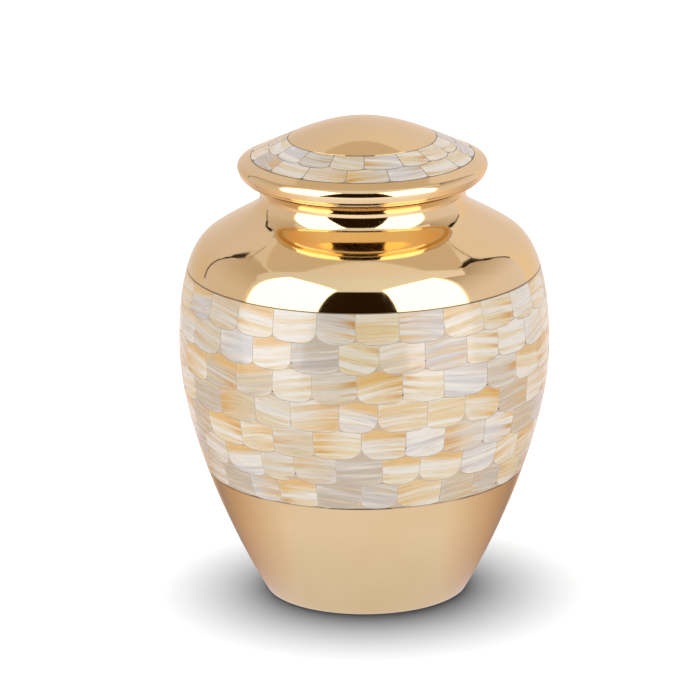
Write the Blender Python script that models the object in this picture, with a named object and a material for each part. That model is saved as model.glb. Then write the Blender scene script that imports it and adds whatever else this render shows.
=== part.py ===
# Cremation urn of turned brass, inlaid with mother-of-pearl
#
# The urn is a hollow brass vessel with a lid that lifts off. A band round the belly and a ring
# round the lid are let into the brass, and courses of cut shell tiles lie in them, flush with it.
# Every piece is turned about the Z axis. The foot stands on z = 0. Units are metres.

import math

import bmesh
import bpy
from mathutils import Vector
from mathutils.geometry import interpolate_bezier

# Driving dimensions of the body
BELLY_RADIUS = 0.0900            # widest place of the urn
BELLY_HEIGHT = 0.1234            # height of the widest place
FOOT_RADIUS = 0.0488
FOOT_FLARE = math.radians(30)    # how far the wall leans outwards at the foot
SHOULDER_RADIUS = 0.0754         # where the shoulder turns into the hollow of the neck
SHOULDER_HEIGHT = 0.1783
SHOULDER_SLOPE = math.radians(34)
NECK_RADIUS = 0.0498             # narrowest place of the neck
NECK_HEIGHT = 0.1984
LIP_RADIUS = 0.0576
LIP_HEIGHT = 0.2074              # height of the lip's widest place
LIP_FLARE = math.radians(65)     # how far the neck leans outwards under the lip
LIP_EDGE = 0.0010                # rounding of the lip's lower edge
LIP_CHAMFER = 0.0003             # small bevel on the lip's upper edge
SEAT_HEIGHT = 0.2077             # flat top of the lip, where the lid rests

# Driving dimensions of the lid
FIT_GAP = 0.00035                # clearance between neighbouring pieces
RIM_RADIUS = 0.0605
RIM_HEIGHT = 0.2123              # height of the rim's widest place
RIM_CORNER = 0.0033              # rounding above the widest place
RIM_LOWER_EDGE = 0.0008          # rounding of the rim's lower edge
RIM_CANT = math.radians(22)      # how far the rim's lower face leans in
DOME_LEAN = math.radians(66)     # direction the dome faces where it meets the rim, above level
DOME_TOP = 0.2353                # height of the whole urn
SPIGOT_LENGTH = 0.0080           # plain ring under the lid that drops into the mouth
SPIGOT_CLEARANCE = 0.0006        # the ring's play in the mouth

# Fullness of the curves: how far each one is drawn along its direction from that place
FOOT_FULLNESS = 0.0374
LOWER_BELLY_FULLNESS = 0.0382
UPPER_BELLY_FULLNESS = 0.0268
OUTER_SHOULDER_FULLNESS = 0.0128
INNER_SHOULDER_FULLNESS = 0.0177
LOWER_NECK_FULLNESS = 0.0077
UPPER_NECK_FULLNESS = 0.0060
LIP_FULLNESS = 0.0040
DOME_EDGE_FULLNESS = 0.0186
DOME_TOP_FULLNESS = 0.0215

# Thicknesses
WALL = 0.0024                    # brass wall
FLOOR = 0.0026                   # brass under the inside of the body
INLAY_DEPTH = 0.0012             # how deep the brass is cut back for the tiles
TILE_THICKNESS = INLAY_DEPTH - FIT_GAP

# Inlay
BAND_BOTTOM = 0.0630             # heights between which the band of the body lies
BAND_TOP = 0.1625
BAND_COURSES = 7
BAND_TILES = 26                  # tiles in each course of the band
LID_INLAY_OUTER = 0.0541         # radii between which the ring of the lid lies
LID_INLAY_INNER = 0.0358
LID_COURSES = 2
LID_TILES = 16                   # tiles in each course of the lid
JOINT = 0.0005                   # resin joint between two courses
TILE_STEP = 0.0012               # how far a tile's lower corners are cut up and its end reaches down

# Fineness of the faceted solids
SIDES_PER_BAND_TILE = 2          # corners at a tile's joint and middle
SIDES_PER_LID_TILE = 3           # corners at a tile's joint and at the ends of its flat lower edge
BODY_SIDES = BAND_TILES * SIDES_PER_BAND_TILE
LID_SIDES = LID_TILES * SIDES_PER_LID_TILE
FINE = 40                        # points on each drawn curve before it is divided evenly


def curve(start, start_handle, end_handle, end):
    """Points of one Bezier stretch in the (radius, height) plane."""
    corners = [Vector((p[0], p[1], 0.0)) for p in (start, start_handle, end_handle, end)]
    return [Vector((p.x, p.y)) for p in interpolate_bezier(*corners, FINE)]


def arc(centre, radius, first, last, steps):
    """Points of an arc; angles are measured up from level and outwards."""
    angles = [first + (last - first) * i / steps for i in range(steps + 1)]
    return [Vector((centre[0] + radius * math.cos(a), centre[1] + radius * math.sin(a)))
            for a in angles]


def joined(*stretches):
    """One line from stretches that follow each other, without double points."""
    line = []
    for stretch in stretches:
        for point in stretch:
            if not line or (point - line[-1]).length > 1e-7:
                line.append(point)
    return line


def lengths(line):
    """Distance along the line at each of its points."""
    run = [0.0]
    for here, there in zip(line, line[1:]):
        run.append(run[-1] + (there - here).length)
    return run


def at(line, distance, depth=0.0):
    """Point of the line at a distance along it, moved inwards by a depth.

    Lines are drawn with the brass on their left side, so inwards is to the left."""
    run = lengths(line)
    distance = min(max(distance, 0.0), run[-1])
    i = max(j for j in range(len(run) - 1) if run[j] <= distance + 1e-12)
    step = line[i + 1] - line[i]
    point = line[i] + step * ((distance - run[i]) / step.length)
    left = Vector((-step.y, step.x)) / step.length
    return point + left * depth


def distance_where(line, axis, value):
    """Distance along the line at which its radius (axis 0) or height (axis 1) has a value."""
    run = lengths(line)
    for i, (here, there) in enumerate(zip(line, line[1:])):
        low, high = sorted((here[axis], there[axis]))
        if low <= value <= high and high > low:
            share = (value - here[axis]) / (there[axis] - here[axis])
            return run[i] + share * (run[i + 1] - run[i])
    raise ValueError("the line never reaches %g" % value)


def divided(line, start, end, steps, depth=0.0):
    """Evenly spaced points of a stretch of the line, moved inwards by a depth."""
    return [at(line, start + (end - start) * i / steps, depth) for i in range(steps + 1)]


def body_line():
    """Outer line of the body, from the foot up to the lip's edge."""
    foot = Vector((FOOT_RADIUS, 0.0))
    flare = Vector((math.sin(FOOT_FLARE), math.cos(FOOT_FLARE)))
    belly = Vector((BELLY_RADIUS, BELLY_HEIGHT))
    shoulder = Vector((SHOULDER_RADIUS, SHOULDER_HEIGHT))
    fall = Vector((math.cos(SHOULDER_SLOPE), -math.sin(SHOULDER_SLOPE)))
    neck = Vector((NECK_RADIUS, NECK_HEIGHT))
    up = Vector((0.0, 1.0))
    lip_centre = Vector((LIP_RADIUS - LIP_EDGE, LIP_HEIGHT))
    lip_start = lip_centre + LIP_EDGE * Vector((math.cos(LIP_FLARE), -math.sin(LIP_FLARE)))
    flaring = Vector((math.sin(LIP_FLARE), math.cos(LIP_FLARE)))
    return joined(
        curve(foot, foot + flare * FOOT_FULLNESS, belly - up * LOWER_BELLY_FULLNESS, belly),
        curve(belly, belly + up * UPPER_BELLY_FULLNESS,
              shoulder + fall * OUTER_SHOULDER_FULLNESS, shoulder),
        curve(shoulder, shoulder - fall * INNER_SHOULDER_FULLNESS,
              neck - up * LOWER_NECK_FULLNESS, neck),
        curve(neck, neck + up * UPPER_NECK_FULLNESS, lip_start - flaring * LIP_FULLNESS, lip_start),
        arc(lip_centre, LIP_EDGE, -LIP_FLARE, 0.0, 6),
    )


def lid_line():
    """Outer line of the lid, from the rim's lower edge up to the top of the dome."""
    bottom = SEAT_HEIGHT + FIT_GAP
    corner = Vector((RIM_RADIUS - RIM_CORNER, RIM_HEIGHT))
    upper_arc = arc(corner, RIM_CORNER, -RIM_CANT, DOME_LEAN, 8)
    face_top = upper_arc[0]
    cant = Vector((math.sin(RIM_CANT), math.cos(RIM_CANT)))
    edge_height = bottom + RIM_LOWER_EDGE
    face_bottom_height = edge_height - RIM_LOWER_EDGE * math.sin(RIM_CANT)
    face_bottom = face_top - cant * ((face_top.y - face_bottom_height) / cant.y)
    edge = face_bottom - RIM_LOWER_EDGE * Vector((math.cos(RIM_CANT), -math.sin(RIM_CANT)))
    lower_arc = arc(edge, RIM_LOWER_EDGE, -math.pi / 2, -RIM_CANT, 5)
    dome_start = upper_arc[-1]
    rise = Vector((-math.sin(DOME_LEAN), math.cos(DOME_LEAN)))
    top = Vector((0.0, DOME_TOP))
    dome = curve(dome_start, dome_start + rise * DOME_EDGE_FULLNESS,
                 top + Vector((DOME_TOP_FULLNESS, 0.0)), top)
    return joined(lower_arc, upper_arc, dome)


def course_joints(start, end, count):
    """Distances along the line that part the courses between two edges of the brass."""
    return [start + (end - start) * i / count for i in range(count + 1)]


def inlay_floor(line, start, end, count):
    """Brass under an inlay: down one edge, along the bottom of it and up the other edge."""
    joints = course_joints(start, end, count)
    return [at(line, start)] + [at(line, s, INLAY_DEPTH) for s in joints] + [at(line, end)]


def turned(name, profile, sides, material):
    """Solid made by turning a profile about the Z axis.

    A profile whose two ends lie on the axis is left open there; any other is closed."""
    mesh_builder = bmesh.new()
    points = [mesh_builder.verts.new((p[0], 0.0, p[1])) for p in profile]
    edges = [mesh_builder.edges.new(pair) for pair in zip(points, points[1:])]
    if profile[0][0] > 1e-6:
        edges.append(mesh_builder.edges.new((points[-1], points[0])))
    bmesh.ops.spin(mesh_builder, geom=points + edges, cent=(0, 0, 0), axis=(0, 0, 1),
                   angle=2 * math.pi, steps=sides)
    bmesh.ops.remove_doubles(mesh_builder, verts=mesh_builder.verts, dist=1e-6)
    return finished(name, mesh_builder, material)


def finished(name, mesh_builder, material):
    """Object of a closed mesh: faces outwards, round surfaces smooth, corners sharp."""
    bmesh.ops.recalc_face_normals(mesh_builder, faces=mesh_builder.faces)
    for face in mesh_builder.faces:
        face.smooth = True
    for edge in mesh_builder.edges:
        edge.smooth = edge.calc_face_angle(0.0) < math.radians(35)
    mesh = bpy.data.meshes.new(name)
    mesh_builder.to_mesh(mesh)
    mesh_builder.free()
    mesh.materials.append(material)
    piece = bpy.data.objects.new(name, mesh)
    bpy.context.scene.collection.objects.link(piece)
    return piece


def plain_material(name, colour, metallic, roughness):
    """Principled material with one colour."""
    material = bpy.data.materials.new(name)
    material.use_nodes = True
    shader = material.node_tree.nodes["Principled BSDF"]
    shader.inputs["Base Color"].default_value = (*colour, 1.0)
    shader.inputs["Metallic"].default_value = metallic
    shader.inputs["Roughness"].default_value = roughness
    return material


def make_body(brass):
    """Hollow vessel with its mouth open and the band of the belly cut back."""
    line = body_line()
    floor_level, band_start, belly, band_end, shoulder, neck = [
        distance_where(line, 1, height) for height in
        (FLOOR, BAND_BOTTOM, BELLY_HEIGHT, BAND_TOP, SHOULDER_HEIGHT, NECK_HEIGHT)]
    lip_edge = lengths(line)[-1] - LIP_FLARE * LIP_EDGE
    outside = joined(
        divided(line, 0.0, band_start, 3)[:-1],
        inlay_floor(line, band_start, band_end, BAND_COURSES),
        divided(line, band_end, shoulder, 4),
        divided(line, shoulder, neck, 5),
        divided(line, neck, lip_edge, 3),
        divided(line, lip_edge, lengths(line)[-1], 2),
    )
    bore = NECK_RADIUS - WALL
    inside = joined(
        divided(line, neck, shoulder, 4, WALL),
        divided(line, shoulder, belly, 3, WALL),
        divided(line, belly, floor_level, 2, WALL),
    )
    inside[-1] = Vector((inside[-1].x, FLOOR))
    profile = (
        [Vector((0.0, 0.0))]
        + outside
        + [Vector((LIP_RADIUS - LIP_CHAMFER, SEAT_HEIGHT)), Vector((bore, SEAT_HEIGHT))]
        + inside
        + [Vector((0.0, FLOOR))]
    )
    return turned("urn_body", profile, BODY_SIDES, brass)


def make_lid(brass):
    """Domed lid, hollow underneath, with a flat seat and a ring that drops into the mouth."""
    line = lid_line()
    inlay_start = distance_where(line, 0, LID_INLAY_OUTER)
    inlay_end = distance_where(line, 0, LID_INLAY_INNER)
    run = lengths(line)[-1]
    bottom = SEAT_HEIGHT + FIT_GAP
    ledge = bottom + WALL
    spigot_outer = NECK_RADIUS - WALL - SPIGOT_CLEARANCE
    spigot_inner = spigot_outer - WALL
    edge_end = RIM_LOWER_EDGE * (math.pi / 2 - RIM_CANT)
    corner_start = distance_where(line, 1, RIM_HEIGHT - RIM_CORNER * math.sin(RIM_CANT))
    rim_top = distance_where(line, 1, RIM_HEIGHT + RIM_CORNER * math.sin(DOME_LEAN))
    outside = joined(
        divided(line, 0.0, edge_end, 2),
        divided(line, corner_start, rim_top, 4),
        inlay_floor(line, inlay_start, inlay_end, LID_COURSES),
        divided(line, inlay_end, run, 3),
    )
    inner_dome = divided(line, rim_top, run, 3, WALL)
    inner_dome[-1] = Vector((0.0, DOME_TOP - WALL))
    underneath = [
        Vector((RIM_RADIUS - 1.4 * WALL, ledge)),
        Vector((spigot_inner, ledge)),
        Vector((spigot_inner, bottom - SPIGOT_LENGTH)),
        Vector((spigot_outer, bottom - SPIGOT_LENGTH)),
        Vector((spigot_outer, bottom)),
    ]
    profile = list(reversed(inner_dome)) + underneath + outside
    return turned("urn_lid", profile, LID_SIDES, brass)


def make_course(name, line, joints, number, tiles, sides_per_tile, shell):
    """Ring of the fused tiles of one course, its edges stepping down and up like fish scales.

    Each course is turned by half a tile from the one below, and the upper edge of a course
    follows the lower edge of the one above it. Against the brass the edges run straight."""
    low, high = joints[number - 1], joints[number]
    sides = tiles * sides_per_tile
    front = 3 * sides // 4

    def step(side, course):
        """Up at a joint of that course, down along the end of its tiles."""
        turned_by = (len(joints) - 1 - course) % 2 * (sides_per_tile // 2)
        return TILE_STEP if (side - front - turned_by) % sides_per_tile == 0 else -TILE_STEP

    ring = bmesh.new()
    columns = []
    for side in range(sides):
        turn = 2 * math.pi * side / sides
        bottom = low + (FIT_GAP if number == 1 else JOINT / 2 + step(side, number))
        top = high - (FIT_GAP if number == len(joints) - 1 else JOINT / 2 - step(side, number + 1))
        corners = [at(line, bottom), at(line, top),
                   at(line, top, TILE_THICKNESS), at(line, bottom, TILE_THICKNESS)]
        columns.append([ring.verts.new((p.x * math.cos(turn), p.x * math.sin(turn), p.y))
                        for p in corners])
    for here, there in zip(columns, columns[1:] + columns[:1]):
        for i in range(4):
            ring.faces.new((here[i], there[i], there[(i + 1) % 4], here[(i + 1) % 4]))
    return finished("%s_%d" % (name, number), ring, shell)


def make_inlay(name, line, start, end, count, tiles, sides_per_tile, shell):
    """All the courses of one inlay, numbered from the lowest up."""
    joints = course_joints(start, end, count)
    return [make_course(name, line, joints, number, tiles, sides_per_tile, shell)
            for number in range(1, count + 1)]


def build():
    """All the pieces of the urn, each in its place."""
    for leftover in list(bpy.data.objects):
        bpy.data.objects.remove(leftover, do_unlink=True)
    brass = plain_material("polished brass", (0.71, 0.50, 0.29), 1.0, 0.12)
    shell = plain_material("mother-of-pearl tiles", (0.78, 0.74, 0.67), 0.0, 0.22)
    make_body(brass)
    make_lid(brass)
    body = body_line()
    make_inlay("band_shell_course", body, distance_where(body, 1, BAND_BOTTOM),
               distance_where(body, 1, BAND_TOP), BAND_COURSES, BAND_TILES, SIDES_PER_BAND_TILE,
               shell)
    lid = lid_line()
    make_inlay("lid_shell_course", lid, distance_where(lid, 0, LID_INLAY_OUTER),
               distance_where(lid, 0, LID_INLAY_INNER), LID_COURSES, LID_TILES, SIDES_PER_LID_TILE,
               shell)


build()
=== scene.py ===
# %% [markdown]
# Cremation urn of turned brass, inlaid with mother-of-pearl
# The real urn is spun from brass sheet, trued and polished on a lathe, and cut back in a band round
# its belly and a ring round its lid. Cut pieces of shell are bedded there in resin, ground flush and
# lacquered. This script dresses the plain model of that urn: it turns the brass again with a finer
# line, lays every shell tile as a piece of its own, and gives each surface its finish.
# The plain model is loaded first, because every piece here stands for one of its nodes.

import math

import bmesh
import bpy
from mathutils import Euler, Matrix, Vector
from mathutils.geometry import interpolate_bezier


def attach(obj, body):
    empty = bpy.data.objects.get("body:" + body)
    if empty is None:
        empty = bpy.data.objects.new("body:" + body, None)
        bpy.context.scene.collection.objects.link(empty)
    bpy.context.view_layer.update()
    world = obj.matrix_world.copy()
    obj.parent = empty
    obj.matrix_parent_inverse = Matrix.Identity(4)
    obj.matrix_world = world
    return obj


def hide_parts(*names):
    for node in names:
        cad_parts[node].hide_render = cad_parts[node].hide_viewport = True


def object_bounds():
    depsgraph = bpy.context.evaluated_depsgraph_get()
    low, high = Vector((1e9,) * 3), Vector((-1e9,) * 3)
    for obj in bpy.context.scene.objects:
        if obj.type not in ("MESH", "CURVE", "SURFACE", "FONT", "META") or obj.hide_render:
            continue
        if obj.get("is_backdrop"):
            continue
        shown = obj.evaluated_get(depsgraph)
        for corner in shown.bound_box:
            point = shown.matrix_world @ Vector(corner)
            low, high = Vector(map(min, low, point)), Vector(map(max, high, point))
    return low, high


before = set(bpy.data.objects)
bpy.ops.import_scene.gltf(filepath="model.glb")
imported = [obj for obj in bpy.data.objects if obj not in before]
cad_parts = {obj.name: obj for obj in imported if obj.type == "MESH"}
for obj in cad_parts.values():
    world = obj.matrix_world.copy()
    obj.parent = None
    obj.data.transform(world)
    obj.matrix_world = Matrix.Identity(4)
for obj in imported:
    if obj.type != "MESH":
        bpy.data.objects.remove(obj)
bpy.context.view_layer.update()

# %% [markdown]
# Two helpers for all that follows
# Colours are easiest to judge as the sRGB hex values that a paint program shows, but a shader adds
# up light, so it needs them in linear numbers. One function makes that change.
# Node trees are long because each node is made, set and linked in separate steps. One function does
# the three together, so that a tree reads from top to bottom like the sum that it works out.


# %% Colours and nodes
def linear(hex_colour):
    """Linear colour with an alpha of 1 from an sRGB hex value."""
    shares = [int(hex_colour[i:i + 2], 16) / 255 for i in (0, 2, 4)]
    return [s / 12.92 if s <= 0.04045 else ((s + 0.055) / 1.055) ** 2.4 for s in shares] + [1.0]


def add_node(tree, kind, inputs=None, **settings):
    """New node with its settings. Each of its inputs gets a value, or a link from a node or socket."""
    node = tree.nodes.new(kind)
    for name, value in settings.items():
        setattr(node, name, value)
    for key, value in (inputs or {}).items():
        if isinstance(value, bpy.types.Node):
            value = next(socket for socket in value.outputs if socket.enabled)
        if isinstance(value, bpy.types.NodeSocket):
            tree.links.new(value, node.inputs[key])
        else:
            node.inputs[key].default_value = value
    return node


print("middle grey in linear numbers:", [round(v, 3) for v in linear("808080")])

# %% [markdown]
# Camera
# The photograph was taken from a little above, through a long lens from almost three metres away, so
# the urn shows hardly any perspective. The camera looks along +Y at the middle of the urn. The urn
# sits right of the middle of the picture and leans a hair to the left, so the camera is slid within
# its own plane and turned a little about its line of sight.
# Colours are shown as they are, without the contrast curve that Blender starts with.

# %% Set up the camera
CAMERA_TARGET = Vector((0.0, 0.0, 0.1125))
CAMERA_ABOVE = math.radians(16.697)     # above level
CAMERA_DISTANCE = 2.8652
CAMERA_SLIDE = Vector((-0.0071, 0.00626))   # to the right and up, in the camera's plane
CAMERA_ROLL = math.radians(-0.637)
CAMERA_LENS = 302.9                     # millimetres, on a sensor 36 mm wide

scene = bpy.context.scene
scene.view_settings.view_transform = "Standard"
camera = bpy.data.objects.new("camera", bpy.data.cameras.new("camera"))
scene.collection.objects.link(camera)
camera.data.lens = CAMERA_LENS
camera.data.sensor_width = 36.0
turn = (Euler((math.pi / 2 - CAMERA_ABOVE, 0.0, 0.0)).to_matrix()
        @ Euler((0.0, 0.0, CAMERA_ROLL)).to_matrix())
camera.rotation_euler = turn.to_euler()
camera.location = CAMERA_TARGET + turn @ Vector((*CAMERA_SLIDE, CAMERA_DISTANCE))
scene.camera = camera
print("camera at", [round(v, 3) for v in camera.location])

# %% [markdown]
# The line of the body
# A turned vessel is one line turned about an axis. It could be a photograph traced point by point,
# but a few smooth curves between named places are closer to how a spinner's template is drawn, and
# they give clean reflections. The places are the same as in the plain model: foot, belly, shoulder,
# neck and lip. Each fullness says how far a curve is drawn along its direction from that place.

# %% Places on the body's line
BELLY_RADIUS, BELLY_HEIGHT = 0.0900, 0.1234
FOOT_RADIUS, FOOT_FLARE = 0.0488, math.radians(30)
SHOULDER_RADIUS, SHOULDER_HEIGHT, SHOULDER_SLOPE = 0.0754, 0.1783, math.radians(34)
NECK_RADIUS, NECK_HEIGHT = 0.0498, 0.1984
LIP_RADIUS, LIP_HEIGHT, LIP_FLARE = 0.0576, 0.2074, math.radians(65)
LIP_EDGE, LIP_CHAMFER = 0.0010, 0.0003  # rounding under the lip, small bevel above it
SEAT_HEIGHT = 0.2077                    # flat top of the lip, where the lid rests
FOOT_FULLNESS, LOWER_BELLY_FULLNESS = 0.0374, 0.0382
UPPER_BELLY_FULLNESS, OUTER_SHOULDER_FULLNESS = 0.0268, 0.0128
INNER_SHOULDER_FULLNESS, LOWER_NECK_FULLNESS = 0.0177, 0.0077
UPPER_NECK_FULLNESS, LIP_FULLNESS = 0.0060, 0.0040
print("belly and height of the body in mm:", 2000 * BELLY_RADIUS, round(1000 * SEAT_HEIGHT, 1))

# %% [markdown]
# Curves are drawn as Bezier stretches, which leave one place in its direction and reach the next in
# that one's. Small roundings are arcs. The stretches are joined to one line.

# %% Curves and arcs
CURVE_STEPS = 96                        # points on each drawn curve


def curve(start, start_handle, end_handle, end):
    """Points of one Bezier stretch in the (radius, height) plane."""
    corners = [Vector((p[0], p[1], 0.0)) for p in (start, start_handle, end_handle, end)]
    return [Vector((p.x, p.y)) for p in interpolate_bezier(*corners, CURVE_STEPS)]


def arc(centre, radius, first, last, steps):
    """Points of an arc; angles are measured up from level and outwards."""
    angles = [first + (last - first) * i / steps for i in range(steps + 1)]
    return [Vector(centre) + radius * Vector((math.cos(a), math.sin(a))) for a in angles]


def joined(*stretches):
    """One line from stretches that follow each other, without double points."""
    line = []
    for stretch in stretches:
        for point in stretch:
            if not line or (point - line[-1]).length > 1e-7:
                line.append(point)
    return line


print("points on each drawn curve:", CURVE_STEPS)


# %% Draw the body's line
def body_line():
    """Outer line of the body, from the foot up to the lip's edge."""
    foot = Vector((FOOT_RADIUS, 0.0))
    flare = Vector((math.sin(FOOT_FLARE), math.cos(FOOT_FLARE)))
    belly = Vector((BELLY_RADIUS, BELLY_HEIGHT))
    shoulder = Vector((SHOULDER_RADIUS, SHOULDER_HEIGHT))
    fall = Vector((math.cos(SHOULDER_SLOPE), -math.sin(SHOULDER_SLOPE)))
    neck = Vector((NECK_RADIUS, NECK_HEIGHT))
    up = Vector((0.0, 1.0))
    lip_centre = Vector((LIP_RADIUS - LIP_EDGE, LIP_HEIGHT))
    lip_start = lip_centre + LIP_EDGE * Vector((math.cos(LIP_FLARE), -math.sin(LIP_FLARE)))
    flaring = Vector((math.sin(LIP_FLARE), math.cos(LIP_FLARE)))
    return joined(
        curve(foot, foot + flare * FOOT_FULLNESS, belly - up * LOWER_BELLY_FULLNESS, belly),
        curve(belly, belly + up * UPPER_BELLY_FULLNESS,
              shoulder + fall * OUTER_SHOULDER_FULLNESS, shoulder),
        curve(shoulder, shoulder - fall * INNER_SHOULDER_FULLNESS,
              neck - up * LOWER_NECK_FULLNESS, neck),
        curve(neck, neck + up * UPPER_NECK_FULLNESS, lip_start - flaring * LIP_FULLNESS, lip_start),
        arc(lip_centre, LIP_EDGE, -LIP_FLARE, 0.0, 8),
    )


print("points on the body's line:", len(body_line()))

# %% [markdown]
# The line of the lid
# The lid is turned too: a canted rim with rounded edges, then a low dome. Underneath it is hollow,
# with a plain ring that drops into the mouth and keeps the lid from sliding off.

# %% Places on the lid's line
FIT_GAP = 0.00035                       # clearance between lid and body
RIM_RADIUS, RIM_HEIGHT = 0.0605, 0.2123
RIM_CORNER, RIM_LOWER_EDGE, RIM_CANT = 0.0033, 0.0008, math.radians(22)
DOME_LEAN, DOME_TOP = math.radians(66), 0.2353
DOME_EDGE_FULLNESS, DOME_TOP_FULLNESS = 0.0186, 0.0215
SPIGOT_LENGTH, SPIGOT_CLEARANCE = 0.0080, 0.0006
LID_BOTTOM = SEAT_HEIGHT + FIT_GAP


def lid_line():
    """Outer line of the lid, from the rim's lower edge up to the top of the dome."""
    corner = Vector((RIM_RADIUS - RIM_CORNER, RIM_HEIGHT))
    upper_arc = arc(corner, RIM_CORNER, -RIM_CANT, DOME_LEAN, 20)
    cant = Vector((math.sin(RIM_CANT), math.cos(RIM_CANT)))
    edge_height = LID_BOTTOM + RIM_LOWER_EDGE
    face_bottom_height = edge_height - RIM_LOWER_EDGE * math.sin(RIM_CANT)
    face_bottom = upper_arc[0] - cant * ((upper_arc[0].y - face_bottom_height) / cant.y)
    edge = face_bottom - RIM_LOWER_EDGE * Vector((math.cos(RIM_CANT), -math.sin(RIM_CANT)))
    lower_arc = arc(edge, RIM_LOWER_EDGE, -math.pi / 2, -RIM_CANT, 10)
    rise = Vector((-math.sin(DOME_LEAN), math.cos(DOME_LEAN)))
    top = Vector((0.0, DOME_TOP))
    dome = curve(upper_arc[-1], upper_arc[-1] + rise * DOME_EDGE_FULLNESS,
                 top + Vector((DOME_TOP_FULLNESS, 0.0)), top)
    return joined(lower_arc, upper_arc, dome)


print("points on the lid's line:", len(lid_line()))

# %% [markdown]
# Walking along a line
# The wall, the cut-back band and the tiles all follow these lines at some depth under the surface.
# So each place is given as a distance along the line and a depth into the brass, which lies on the
# line's left side.


# %% Measure along a line
def lengths(line):
    """Distance along the line at each of its points."""
    run = [0.0]
    for here, there in zip(line, line[1:]):
        run.append(run[-1] + (there - here).length)
    return run


def at(line, distance, depth=0.0):
    """Point of the line at a distance along it, moved into the brass by a depth."""
    run = lengths(line)
    distance = min(max(distance, 0.0), run[-1])
    i = max(j for j in range(len(run) - 1) if run[j] <= distance + 1e-12)
    step = line[i + 1] - line[i]
    left = Vector((-step.y, step.x)) / step.length
    return line[i] + step * ((distance - run[i]) / step.length) + left * depth


def distance_where(line, axis, value):
    """Distance along the line at which its radius (axis 0) or height (axis 1) has a value."""
    run = lengths(line)
    for i, (here, there) in enumerate(zip(line, line[1:])):
        low, high = sorted((here[axis], there[axis]))
        if low <= value <= high and high > low:
            share = (value - here[axis]) / (there[axis] - here[axis])
            return run[i] + share * (run[i + 1] - run[i])
    raise ValueError("the line never reaches %g" % value)


def divided(line, start, end, steps, depth=0.0):
    """Evenly spaced points of a stretch of the line, moved into the brass by a depth."""
    return [at(line, start + (end - start) * i / steps, depth) for i in range(steps + 1)]


BODY, LID = body_line(), lid_line()
print("length of the body's line in mm:", round(lengths(BODY)[-1] * 1000, 1))

# %% [markdown]
# Turning
# Blender's spin works like a lathe: it sweeps the line round the axis. Spinning can leave faces that
# look inwards and a double row where the ends meet, so doubles are merged and the faces are pointed
# outwards again. Edges with a real corner stay sharp, and all else is shaded smooth.

# %% Turn a solid from its line
SIDES = 256                             # enough that no corner shows in the rim's outline
SHARP = math.radians(35)


def finish_piece(name, mesh, replaces):
    """Puts a finished mesh in the scene and ties it to the plain model."""
    piece = bpy.data.objects.new(name, mesh)
    scene.collection.objects.link(piece)
    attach(piece, "root")
    if replaces:
        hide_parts(*replaces)
    triangles = sum(len(p.vertices) - 2 for p in mesh.polygons)
    print(name, "has", triangles, "triangles")
    return piece


def turned(name, profile, material):
    """Closed mesh made by turning a profile. Its ends lie on the axis, or it is a closed ring."""
    lathe = bmesh.new()
    points = [lathe.verts.new((p[0], 0.0, p[1])) for p in profile]
    edges = [lathe.edges.new(pair) for pair in zip(points, points[1:])]
    if profile[0][0] > 1e-6:
        edges.append(lathe.edges.new((points[-1], points[0])))
    bmesh.ops.spin(lathe, geom=points + edges, cent=(0, 0, 0), axis=(0, 0, 1),
                   angle=2 * math.pi, steps=SIDES)
    bmesh.ops.remove_doubles(lathe, verts=lathe.verts, dist=1e-6)
    bmesh.ops.recalc_face_normals(lathe, faces=lathe.faces)
    for face in lathe.faces:
        face.smooth = True
    for edge in lathe.edges:
        edge.smooth = edge.calc_face_angle(0.0) < SHARP
    mesh = bpy.data.meshes.new(name)
    lathe.to_mesh(mesh)
    lathe.free()
    mesh.materials.append(material)
    return mesh


print("sides of a turned piece:", SIDES)

# %% [markdown]
# Polished brass
# The brass is a copper and zinc alloy, turned, buffed to a mirror and lacquered. A metal has no
# colour of its own under its reflections, so the base colour tints everything that it mirrors, twice
# where brass mirrors brass, which is what makes the neck look deep gold. What keeps it from looking
# like plastic film is small: rings left by the turning tool, a haze from the buffing wheel, and hair
# scratches from wiping. The rings are drawn 0.5 mm apart, coarser than real, so that they show.
# The pattern of the rings reads how far a point is from the axis and how high it is. Where the brass
# meets the inlay it is darker: residue of the polish stays in the seam, and the seam's shade is
# painted in.

# %% Brass: colours and helpers
# The third colour darkens the brass beside the inlay: polish residue and painted shade of the seam.
BRASS, BRASS_DEEP, POLISH_RESIDUE_AND_SEAM_SHADE = "E9CD95", "E3C284", "6E4A22"
RING_SPACING = 0.0005
HAZE_SIZE = 0.030
SCRATCH_SPACING = 0.0016
# Reach of the darkening beside a seam, which is polish residue and painted seam shade.
RESIDUE_AND_SEAM_SHADE_REACH = (0.0001, 0.0006)        # from a seam, where its residue starts to thin and ends


def new_material(name):
    """Empty material and its tree."""
    material = bpy.data.materials.new(name)
    material.use_nodes = True
    material.node_tree.nodes.clear()
    return material, material.node_tree


def place_on_urn(tree):
    """Sockets of a point's place, its distance from the urn's axis and its height."""
    place = add_node(tree, "ShaderNodeTexCoord").outputs["Object"]
    parts = add_node(tree, "ShaderNodeSeparateXYZ", {0: place})
    level = add_node(tree, "ShaderNodeCombineXYZ", {0: parts.outputs[0], 1: parts.outputs[1]})
    from_axis = add_node(tree, "ShaderNodeVectorMath", {0: level}, operation="LENGTH")
    return place, from_axis.outputs["Value"], parts.outputs[2]


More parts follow.
